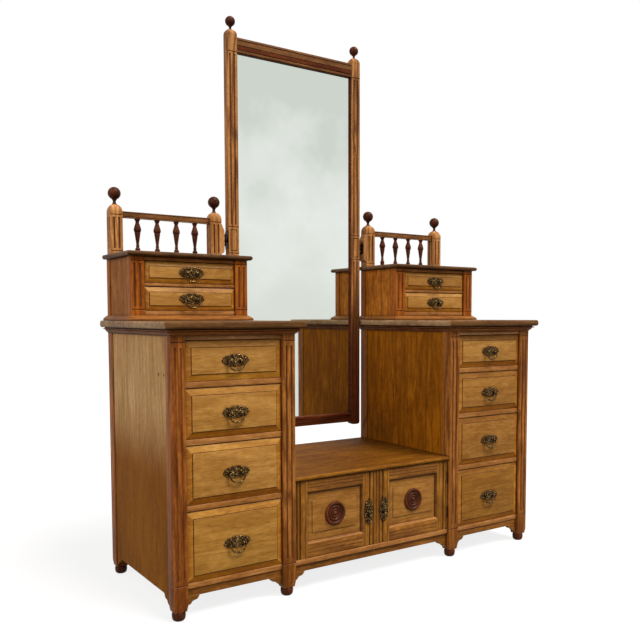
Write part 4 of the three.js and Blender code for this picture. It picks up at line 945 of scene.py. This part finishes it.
# Half of a pierced plate going down from its crown: shares of half width and rise
PLATE = [(0, 0.99), (0.09, 0.97), (0.17, 0.9), (0.25, 0.95), (0.33, 0.93), (0.39, 0.8), (0.43, 0.66),
         (0.5, 0.57), (0.57, 0.62), (0.63, 0.73), (0.69, 0.74), (0.74, 0.62), (0.79, 0.42), (0.86, 0.3),
         (0.93, 0.16), (1, 0.02), (0.93, -0.1), (0.86, -0.22), (0.79, -0.34), (0.74, -0.5), (0.67, -0.59),
         (0.6, -0.52), (0.55, -0.42), (0.49, -0.5), (0.44, -0.66), (0.37, -0.7), (0.3, -0.62), (0.22, -0.64),
         (0.13, -0.74), (0, -0.86)]
PIERCINGS = [
    [(0.2, 0.3), (0.27, 0.24), (0.34, 0.23), (0.36, 0.36), (0.33, 0.5), (0.27, 0.62), (0.23, 0.68),
     (0.21, 0.5)],
    [(0.63, 0.08), (0.67, 0.2), (0.71, 0.3), (0.77, 0.18), (0.82, 0.03), (0.76, -0.1), (0.7, -0.22),
     (0.66, -0.08)],
    [(0.5, 0.4), (0.56, 0.34), (0.61, 0.44), (0.63, 0.56), (0.57, 0.54), (0.51, 0.48)],
    [(0.16, -0.26), (0.25, -0.22), (0.32, -0.3), (0.3, -0.46), (0.23, -0.54), (0.17, -0.44)],
]
# Scrolls raised on the plate: start, then points of the stem, shares of half width and rise
SCROLLS = [
    [(0.03, 0.22), (0.1, 0.52), (0.2, 0.82), (0.32, 0.84), (0.38, 0.66), (0.33, 0.58)],
    [(0.42, 0.14), (0.46, 0.4), (0.57, 0.62), (0.68, 0.62), (0.7, 0.46), (0.64, 0.42)],
    [(0.54, -0.06), (0.6, 0.16), (0.72, 0.4), (0.8, 0.3), (0.88, 0.14)],
    [(0.56, -0.04), (0.66, -0.24), (0.74, -0.38), (0.8, -0.24), (0.97, 0.01)],
    [(0.3, -0.06), (0.36, -0.3), (0.48, -0.42), (0.6, -0.46), (0.68, -0.42)],
    [(0.03, -0.1), (0.1, -0.42), (0.2, -0.58), (0.34, -0.58), (0.4, -0.46)],
]
# Studs on the plate: radius and height
STUD = [(5.6, 0), (5.8, 0.9), (4.8, 1.9), (3.2, 2.3), (2.2, 2.1), (1.6, 2.7), (0.8, 3.1), (0, 3.2)]
PLATE_HALF, PLATE_RISE = 44.0, 20.0
# Where the plate's posts stand and how the bail hangs from them
KNOB = 17.0
BAIL_HALF = 23.4
BAIL_DROP = 28.0
BAIL_RADIUS = 2.5


def pierced_plate(turn):
    """Cast plate: pierced ground, raised scrolls and studs; turn places a point of the flat design."""
    half, rise = PLATE_HALF, PLATE_RISE
    curve = bpy.data.curves.new("plate_outline", "CURVE")
    curve.dimensions = "2D"
    curve.fill_mode = "BOTH"
    curve.extrude = 0.0005
    curve.bevel_depth = 0.0005
    curve.bevel_resolution = 2

    def loop(points):
        line = curve.splines.new("POLY")
        line.points.add(len(points) - 1)
        for point, (u, v) in zip(line.points, points):
            point.co = (u / 1000, v / 1000, 0, 1)
        line.use_cyclic_u = True

    # the rounded edge adds half a millimetre all round, so the outline is drawn that much smaller
    right = [(u * (half - 0.5), v * (rise - 0.5)) for u, v in smooth_line(PLATE, 2)]
    loop(right + [(-u, v) for u, v in right[-2:0:-1]])
    for hole in PIERCINGS:
        for sign in (1, -1):
            loop([(sign * u * half, v * rise) for u, v in smooth_line([*hole, hole[0]], 2)[:-1]])
    cut = bpy.data.objects.new("plate_cut", curve)
    flat = bpy.data.meshes.new_from_object(cut)
    shapes = [([tuple(c * 1000 for c in vertex.co) for vertex in flat.vertices],
               [list(face.vertices) for face in flat.polygons])]
    bpy.data.objects.remove(cut)
    bpy.data.curves.remove(curve)
    bpy.data.meshes.remove(flat)
    for scroll in SCROLLS:
        stem = smooth_line(scroll, 3)
        swell = [0.9 + 0.75 * math.sin(math.pi * i / (len(stem) - 1)) for i in range(len(stem))]
        for sign in (1, -1):
            shapes.append(rod([(sign * u * half, v * rise, 1.0, r) for (u, v), r in zip(stem, swell)], 7))

    def stud(u, v, wide, tall, base, steps):
        shapes.append(turned([(r * wide, z * tall) for r, z in STUD], "z", (u * half, v * rise, base), steps))

    # a bud on the crown, a boss in the middle and one under it, then small ones on the scrolls
    for v, size in ((0.28, 1.0), (-0.28, 0.7), (0.78, 0.5)):
        stud(0, v, size, size, 0.4, 16)
    for sign in (1, -1):
        for u, v in ((0.86, 0.42), (0.2, 0.88), (0.58, 0.7)):
            stud(sign * u, v, 0.34, 0.6, 0.3, 10)
    return [([turn(u, v, w) for u, v, w in points], faces) for points, faces in shapes]


def drawer_handle(name, x, z, face):
    """Pierced plate with two posts, and the bail that swings from them."""
    body = f"{name}_body"
    back = face - GAP
    shapes = pierced_plate(lambda u, v, w: (x + u, back - PLATE_FACE - w, z + v))
    pin_y = back - PIN_PROUD
    knob = [(6.4, 0), (6.6, 1.0), (5.2, 2.2), (3.6, 2.8), (3.2, 4.4), (3.3, 6.4), (4.2, 7.4), (4.4, 9.6),
            (3.8, 11.6), (2.2, 12.6), (0, 12.9)]
    for end in (-1, 1):
        shapes.append(turned(knob, "-y", (x + end * KNOB, back - POST_SEAT, z), 14))
    plate = make(f"{name}_plate_brass", shapes, [aged_brass], body, sharp=50)
    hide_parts(f"{name}_plate")
    # the bail is a thick D, flattened along its foot where the fingers pull
    arm = smooth_line([(1, 0), (1.03, 0.14), (1.03, 0.32), (0.98, 0.52), (0.84, 0.74), (0.6, 0.92),
                       (0.3, 0.99), (0, 1)], 3)
    bar = [(0.66, 0.0, 1.6), (0.92, 0.0, 1.6)]
    bar += [(u, v, BAIL_RADIUS * (0.8 + 0.28 * v + (0.2 if v > 0.9 and u < 0.34 else 0))) for u, v in arm]
    right, left = [[(x + end * u * BAIL_HALF, pin_y, z - v * BAIL_DROP, r) for u, v, r in bar]
                   for end in (1, -1)]
    eye = [(1.7, -1.6), (2.8, -1.2), (3.1, 0), (2.8, 1.2), (1.7, 1.6)]
    bail_shapes = [rod(left + right[-2::-1], 12),
                   *[turned(eye, "x", (x + end * BAIL_HALF, pin_y, z), 14) for end in (-1, 1)]]
    bail = make(f"{name}_bail_brass", bail_shapes, [rubbed_brass], f"{name}_bail_body", sharp=50)
    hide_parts(f"{name}_bail")


def all_drawers(word, side):
    for stack, tops, openings, shares, stile, plane, thick, bevel in (
            ("drawer", RAIL_TOPS, OPENINGS, HANDLE_SHARES, STILE, 536, 20, 20),
            ("jewel_drawer", BOX_RAIL_TOPS, BOX_OPENINGS, [0.5, 0.5], BOX_STILE, 226, 16, 16)):
        width = OUTER - INNER - 2 * (stile + DRAWER_PLAY)
        for i, floor in enumerate(tops):
            name = f"{stack}_{word}_{i + 1}"
            z0, z1 = floor + GAP, floor + openings[i] - TOP_PLAY
            drawer(name, side * MIDDLE, width, z0, z1, plane, thick, bevel)
            drawer_handle(name, side * MIDDLE, z0 + shares[i] * (z1 - z0), depth_at(plane + 8))


# Cupboard and its doors
def cupboard():
    half = INNER - GAP
    top = CUPBOARD_LID - GAP
    inner = half - 15.5
    sides_piece = make(
        "cupboard_sides", [side_board(side, half - 16, half, 6, 515.5, APRON_LOW, top) for side in (-1, 1)],
        [stile_upright], ease=0.5)
    make("cupboard_floor", [side_board(1, -inner, inner, 7, 514.5, 93.5, 105.5),
                            side_board(1, -inner, inner, 495.5, 514.5, top - 20, top - 0.5)],
         [lining_pine], ease=0.5)
    back_boards("cupboard_back", 1, -inner, inner, 4, 93, top - 1)
    rail = eased_bar(depth_at(DOOR_FRONT + 2), 41, 88, 105.5, 3, -half, half)
    make("cupboard_rail", [rail], [rail_across], ease=0.5)
    apron("cupboard_apron", 1, -half, half, DOOR_FRONT - 5, 0)
    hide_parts("cupboard_carcass")
    nose = smooth_line([(0, 5), (0.7, 2.6), (2.6, 0.8), (6, 0), (9.4, 0.6), (11.8, 2.2), (12.9, 5)], 3)
    points, faces = skin([
        level_ring(-half, half, depth_at(DOOR_FRONT + 8 - inset), BACK_PLANE, CUPBOARD_LID + up)
        for up, inset in nose])
    # after the two end faces every fourth one is on the nose
    slots = [1 if i >= 2 and i % 4 == 2 else 0 for i in range(len(faces))]
    lid = make("cupboard_lid", [(points, faces, slots)], [lid_across, lid_nose_across])
    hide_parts("cupboard_top")


def grooved_face(u0, u1, v0, v1, grooves, depth_back, face, place):
    """A board whose face carries round grooves along its length; grooves are places across it."""
    def across(t):
        dips = [size * math.sqrt(max(1 - ((t - middle) / size) ** 2, 0)) for middle, size in grooves]
        return max(dips)

    marks = [u0, u0 + 0.25, u0 + 0.9]
    for middle, size in grooves:
        marks += [middle + off * size for off in (-1.05, -0.97, -0.8, -0.45, 0, 0.45, 0.8, 0.97, 1.05)]
    marks += [u1 - 0.9, u1 - 0.25, u1]
    marks = sorted(mark for mark in marks if u0 <= mark <= u1)
    ease = {u0: 0.9, u1: 0.9, u0 + 0.25: 0.26, u1 - 0.25: 0.26}
    return skin([
        [place(mark, v, face + ease.get(mark, 0.0) + across(mark)) for mark in marks]
        + [place(u1, v, depth_back), place(u0, v, depth_back)] for v in (v0, v1)])


# Roundel going in from its rim: shares of its radius and of its height
ROUNDEL = [(1, 0), (1, 0.42), (0.985, 0.62), (0.95, 0.8), (0.9, 0.88), (0.85, 0.86), (0.8, 0.74),
           (0.775, 0.56), (0.74, 0.4), (0.7, 0.36), (0.66, 0.42), (0.63, 0.6), (0.6, 0.72), (0.56, 0.74),
           (0.52, 0.64), (0.49, 0.44), (0.45, 0.34), (0.4, 0.38), (0.37, 0.56), (0.34, 0.66), (0.3, 0.62),
           (0.27, 0.44), (0.24, 0.36), (0.2, 0.42), (0.17, 0.6), (0.13, 0.78), (0.08, 0.9), (0.03, 0.95),
           (0, 0.96)]


def door(word, side):
    body = f"door_{word}_body"
    y_face, y_back = depth_at(DOOR_FRONT), depth_at(DOOR_FRONT - DOOR_THICK)
    # from the middle of the chest outward: reeded strip, stile, opening, stile, margin
    strip0, strip1, stile0, stile1 = 1, 24, 31, 55
    margin0, margin1 = INNER - 18, INNER - 1
    outer0, outer1 = margin0 - 31, margin0 - 7
    low, high = DOOR_LOW + 45, DOOR_HIGH - 37
    shapes = []
    for x0, x1, groove in (
            (strip0, strip1, (12.5, 3)), (margin0, margin1, (margin0 + 8.5, 3)),
            (stile0, stile1, (stile1 - 8, 1.3)), (outer0, outer1, (outer0 + 8, 1.3))):
        shapes.append(grooved_face(
            x0, x1, DOOR_LOW, DOOR_HIGH, [groove], y_back, y_face, lambda u, v, y: (side * u, y, v)))
    # sunk channels beside the strips
    for x0, x1 in ((strip1, stile0), (outer1, margin0)):
        shapes.append(side_board(
            side, x0 - 0.3, x1 + 0.3, DOOR_FRONT - DOOR_THICK, DOOR_FRONT - 4, DOOR_LOW, DOOR_HIGH))
    frame_piece = make(f"door_stiles_{word}", shapes, [door_upright], body, sharp=40)
    rails = [grooved_face(
        z0, z1, stile1 - 0.3, outer0 + 0.3, [(z0 + share * (z1 - z0), 1.7) for share in (0.34, 0.62)], y_back,
        y_face + 0.02, lambda u, v, y: (side * v, y, u)) for z0, z1 in ((DOOR_LOW, low), (high, DOOR_HIGH))]
    make(f"door_rails_{word}", rails, [door_across], body, sharp=40)

    def opening_ring(y, inset_x, inset_z):
        return upright_ring(
            side * (stile1 + inset_x), side * (outer0 - inset_x), y, low + inset_z, high - inset_z)

    # stopped chamfer round the opening
    points, faces = hoop([opening_ring(y, inset, inset) for y, inset in (
        (y_face + 0.05, -0.6), (y_face + 6, 6), (y_back - 1, 6), (y_back - 1, -0.6))])
    # painted shade darkens the head of the opening and its right-hand side
    shaded_sides = (2, 1 if side > 0 else 3)
    slots = [1 if i % 4 in shaded_sides else 0 for i in range(len(faces))]
    make(f"door_chamfers_{word}", [(points, faces, slots)], [door_across, shaded_reveal], body, ease=0.5)
    panel_face = y_face + 9
    panel = skin([opening_ring(panel_face + y, 5 + bevel_x, 5 + bevel_z) for y, bevel_x, bevel_z in (
        (9, 0, 0), (0, 0, 0), (-1.8, 16, 25), (-1.3, 16.6, 25.6), (-1.5, 17, 26), (-3.4, 17.3, 26.3),
        (-3.9, 17.8, 26.8), (-4, 18.6, 27.6))])
    make(f"door_panel_{word}", [panel], [panel_across], body, sharp=12)
    profile = [(0, 0)] + [(r * 38, up * 8) for r, up in ROUNDEL]
    roundel = turned(profile, "-y", (side * (stile1 + outer0) / 2, panel_face - 3, (low + high) / 2), 64)
    make(f"door_roundel_{word}", [roundel], [turned_dark], body)
    hinges = []
    knuckle = [(0, 0.2), (1.8, 0.2), (2.2, 0.6), (2.2, 12.4), (1.8, 12.8), (0, 12.8)]
    pin_x, pin_y = side * (INNER - 2.5), depth_at(DOOR_FRONT + 1.5)
    for z in (DOOR_LOW + 42, DOOR_HIGH - 42 - 39):
        hinges += [turned(knuckle, "z", (pin_x, pin_y, z + i * 13), 16) for i in range(3)]
        hinges.append(side_board(
            side, INNER - 3.4, INNER - 1.2, DOOR_FRONT - 20, DOOR_FRONT + 0.6, z, z + 39))
    make(f"door_hinges_{word}", hinges, [dark_iron], body)
    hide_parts(f"door_{word}")


def door_pull(word, side):
    """Upright pierced plate with one post, and the drop that swings from it."""
    body = f"door_{word}_body"
    x, z_mid = side * 30.5, (DOOR_LOW + DOOR_HIGH) / 2 - 10
    back = depth_at(DOOR_FRONT) - GAP
    pin_y, pin_z = back - PIN_PROUD, z_mid + 12
    shapes = pierced_plate(lambda u, v, w: (x + side * v, back - PLATE_FACE - w, z_mid + u))
    post = [(6, 0), (6.2, 1), (4.6, 2.2), (3.4, 2.9), (3.1, 4.8), (3.3, 6.4), (4, 7.4), (4.2, 9.6),
            (3.6, 11.4), (2, 12.4), (0, 12.8)]
    shapes.append(turned(post, "-y", (x, back - POST_SEAT, pin_z), 14))
    plate = make(f"door_plate_brass_{word}", shapes, [aged_brass], body, sharp=50)
    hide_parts(f"door_plate_{word}")
    # the drop's loop hangs from the post and carries a turned pendant
    arm = smooth_line([(1, 0), (1.08, 0.08), (1, 0.2), (0.78, 0.34), (0.4, 0.44), (0, 0.46)], 3)
    right, left = [[(x + end * u * 6.4, pin_y, pin_z - v * 34, 1.6) for u, v in arm] for end in (1, -1)]
    pendant = smooth_line([(1.2, -34), (2.6, -33.4), (3.0, -31.6), (2.4, -30.4), (4.2, -28.4), (6.0, -25.4),
                           (5.4, -21.6), (3.6, -18.8), (2.2, -16.6), (2.8, -15.4), (1.6, -14.4)], 3)
    drop = [rod([(x - 3, pin_y, pin_z, 1.5)] + left + right[-2::-1] + [(x + 3, pin_y, pin_z, 1.5)], 10),
            turned([(0, -34), *pendant, (0, -14.2)], "z", (x, pin_y, pin_z), 20)]
    drop_piece = make(f"door_drop_brass_{word}", drop, [rubbed_brass], f"door_{word}_drop_body", sharp=50)
    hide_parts(f"door_drop_{word}")


# Mirror
def mirror():
    body = "mirror_body"
    y0, y1 = depth_at(MIRROR_DEPTH + 14), depth_at(MIRROR_DEPTH - 14)
    panel = PIVOT_Z - PANEL_HALF, PIVOT_Z + PANEL_HALF
    lines = [panel[0] - 9, panel[1] + 9, MIRROR_SHOULDER - 60]
    bottom0, bottom1 = MIRROR_FOOT + 12, MIRROR_FOOT + 48
    top0, top1 = MIRROR_SHOULDER - 59, MIRROR_SHOULDER - 7
    flutes = [(bottom0 + STOP, lines[0] - STOP), (lines[1] + STOP, lines[2] - STOP)]
    half = MIRROR_STILE_HALF
    stiles = [fluted_stile(
        side * MIRROR_STILE - half, side * MIRROR_STILE + half, y0, y1, MIRROR_FOOT,
        MIRROR_SHOULDER + half - 0.5, flutes, lines, arch=(MIRROR_SHOULDER, MIRROR_SHOULDER + half), foot=10,
        panel=panel) for side in (-1, 1)]
    balls = [ball_finial(side * MIRROR_STILE, (y0 + y1) / 2, 18, PIVOT_Z + 777) for side in (-1, 1)]
    frame_piece = make("mirror_stiles", stiles, [mirror_upright, flute_shade], body, sharp=40)
    make("mirror_finials", balls, [turned_dark], body)
    sight = MIRROR_STILE - MIRROR_STILE_HALF
    rails = []
    # each rail: its front, its back behind the glass, its grooves, and where it has kept its dark polish
    for z0, z1, back0, back1, shares, dark in (
            (bottom0, bottom1, bottom0, bottom1 - 8, (0.3, 0.5, 0.7), (bottom0, bottom1)),
            (top0, top1, top0 + 8, top1, (0.17, 0.46, 0.82), (top0 + 10, top0 + 23))):
        grooves = [(z0 + share * (z1 - z0), 1.9) for share in shares]
        points, faces = grooved_face(
            z0, z1, -sight - 0.5, sight + 0.5, grooves, y1 - 17, y0, lambda u, v, y: (v, y, u))
        middles = [sum(points[i][2] for i in face) / len(face) for face in faces]
        slots = [1 if dark[0] < middle < dark[1] else 0 for middle in middles]
        rails += [(points, faces, slots), board(-sight - 0.5, sight + 0.5, y1 - 16.8, y1, back0, back1)]
    make("mirror_rails", rails, [mirror_across, dark_rail], body, sharp=40)
    # sight moulding that holds the glass: a small chamfer and a bead
    outline = [(-1.8, 1.6), (-0.6, 1), (1.6, 3.2), (2, 4), (2, 12.4), (-2.3, 12.4), (-2.3, 1.6)]
    bead = hoop([upright_ring(inset - sight, sight - inset, y0 + back, bottom1 + inset, top0 - inset)
                 for inset, back in outline])
    make("mirror_sight_bead", [bead], [dark_rail], body, sharp=26)
    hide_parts("mirror_frame")
    for name, finish in (("mirror_glass", mirror_silver), ("mirror_back", back_pine)):
        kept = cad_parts[name]
        kept.data.materials.clear()
        kept.data.materials.append(finish)


def mirror_movement(word, side):
    """Back plate screwed to the gallery block, a knob on a neck and the pin into the mirror stile, which
    has a plate of its own."""
    middle = depth_at(POST_DEPTH)
    plate1 = INNER - BLOCK_PROUD - GAP
    plate0 = plate1 - 3
    shapes = [eased_bar(
        middle - 10.6, 21.2, PIVOT_Z - 22.6, PIVOT_Z + 22.6, 6, side * plate0, side * plate1, 5)]
    knob = [(4, 282.5), (4, 293.9), (6, 294.1), (8.4, 295), (9.8, 297), (9.8, 299.4), (8.6, 301.4),
            (6, 302.6), (4.8, 304), (6.8, 305.6), (8.4, 307.6)]
    boss = [(6.6, plate0 + 0.3), (6.8, plate0 - 2), (6.2, plate0 - 7), (4.6, plate0 - 9.6),
            (0, plate0 - 10.6)]
    for profile, up, steps in ((knob, 0, 24), (boss, -15.5, 20), (boss, 15.5, 20)):
        shapes.append(turned([(r, side * x) for r, x in profile], "x", (0, middle, PIVOT_Z + up), steps))
    piece = make(f"mirror_movement_{word}", shapes, [dark_iron], ease=0.3)
    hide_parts(f"mirror_pivot_{word}")
    face = MIRROR_STILE + MIRROR_STILE_HALF
    bush = eased_bar(
        middle - 13, 26, PIVOT_Z - 33, PIVOT_Z + 33, 8, side * (face - 0.5), side * (face + 2.2), 5)
    make(f"mirror_bush_plate_{word}", [bush], [dark_iron], "mirror_body", ease=0.3)


for word, side in (("left", -1), ("right", 1)):
    pedestal(word, side)
    jewel_box(word, side)
    gallery(word, side)
    all_drawers(word, side)
    mirror_movement(word, side)
    door(word, side)
    door_pull(word, side)
cupboard()
mirror()


# Studio: the camera stands where the photographer stood
def aim(thing, place, target):
    thing.location = place
    thing.rotation_euler = (Vector(target) - Vector(place)).to_track_quat("-Z", "Y").to_euler()


scene = bpy.context.scene
lens = bpy.data.cameras.new("camera")
lens.sensor_width = 36
lens.lens = 43.054
lens.shift_x, lens.shift_y = -0.04723, 0.07418
lens.clip_end = 100
camera = bpy.data.objects.new("camera", lens)
scene.collection.objects.link(camera)
yaw, pitch = math.radians(-34.99), math.radians(-3.788)
ahead = Vector((-math.sin(yaw) * math.cos(pitch), math.cos(yaw) * math.cos(pitch), math.sin(pitch)))
stand = Vector((-1.5323, -2.286, 0.8723))
aim(camera, stand, stand + ahead)
scene.camera = camera


def soft_sun(name, azimuth, height, strength, spread):
    """Light as even as a big softbox far off gives; azimuth 0 comes from the front, 90 from the right."""
    lamp = bpy.data.lights.new(name, "SUN")
    lamp.energy = strength
    lamp.angle = math.radians(spread)
    holder = bpy.data.objects.new(name, lamp)
    scene.collection.objects.link(holder)
    a, e = math.radians(azimuth), math.radians(height)
    source = Vector((math.sin(a) * math.cos(e), -math.cos(a) * math.cos(e), math.sin(e)))
    aim(holder, source * 5, (0, 0, 0))


soft_sun("key softbox", 28, 58, 4.5, 30)
soft_sun("fill softbox", -68, 26, 1.7, 60)


def seen_or_lit(tree, lit, seen):
    """One shader for what the camera and reflections see, another for what lights the piece."""
    path = add(tree, "LightPath")
    either = reckon(tree, "MAXIMUM", path.outputs["Is Camera Ray"], path.outputs["Is Glossy Ray"])
    return add(tree, "MixShader", {0: either, 1: lit.outputs[0], 2: seen.outputs[0]}).outputs[0]


world = bpy.data.worlds.new("studio")
scene.world = world
world.use_nodes = True
sky = world.node_tree
sky.nodes.clear()
ambient = add(sky, "Background", {"Color": "#f4f2ee", "Strength": 0.34})
backdrop = add(sky, "Background", {"Color": "#ffffff", "Strength": 1.0})
add(sky, "OutputWorld", {"Surface": seen_or_lit(sky, ambient, backdrop)})

# pale paper floor: white where nothing shades it, and it throws only a little light back up
floor_finish, tree = blank_finish("pale studio paper floor")
fibre = add(tree, "TexNoise", {"Scale": 30.0, "Detail": 2.0}).outputs["Fac"]
matt = ramp(tree, fibre, (0.3, 0.7), ("#5c5b5a", "#605f5e"))
paper = add(tree, "BsdfDiffuse", {"Color": matt, "Roughness": 0.5})
shown = add(tree, "BsdfDiffuse", {"Color": "#6e6d6b", "Roughness": 0.5})
glow = add(tree, "Emission", {"Color": "#ffffff", "Strength": 0.82})
bright_paper = add(tree, "AddShader", {0: shown.outputs[0], 1: glow.outputs[0]})
add(tree, "OutputMaterial", {"Surface": seen_or_lit(tree, paper, bright_paper)})

sheet = bpy.data.meshes.new("studio_floor")
sheet.from_pydata([(-30, -30, 0), (30, -30, 0), (30, 30, 0), (-30, 30, 0)], [], [(0, 1, 2, 3)])
sheet.materials.append(floor_finish)
floor = bpy.data.objects.new("studio_floor", sheet)
floor.location.z = -0.0005
scene.collection.objects.link(floor)

scene.view_settings.view_transform = "Standard"
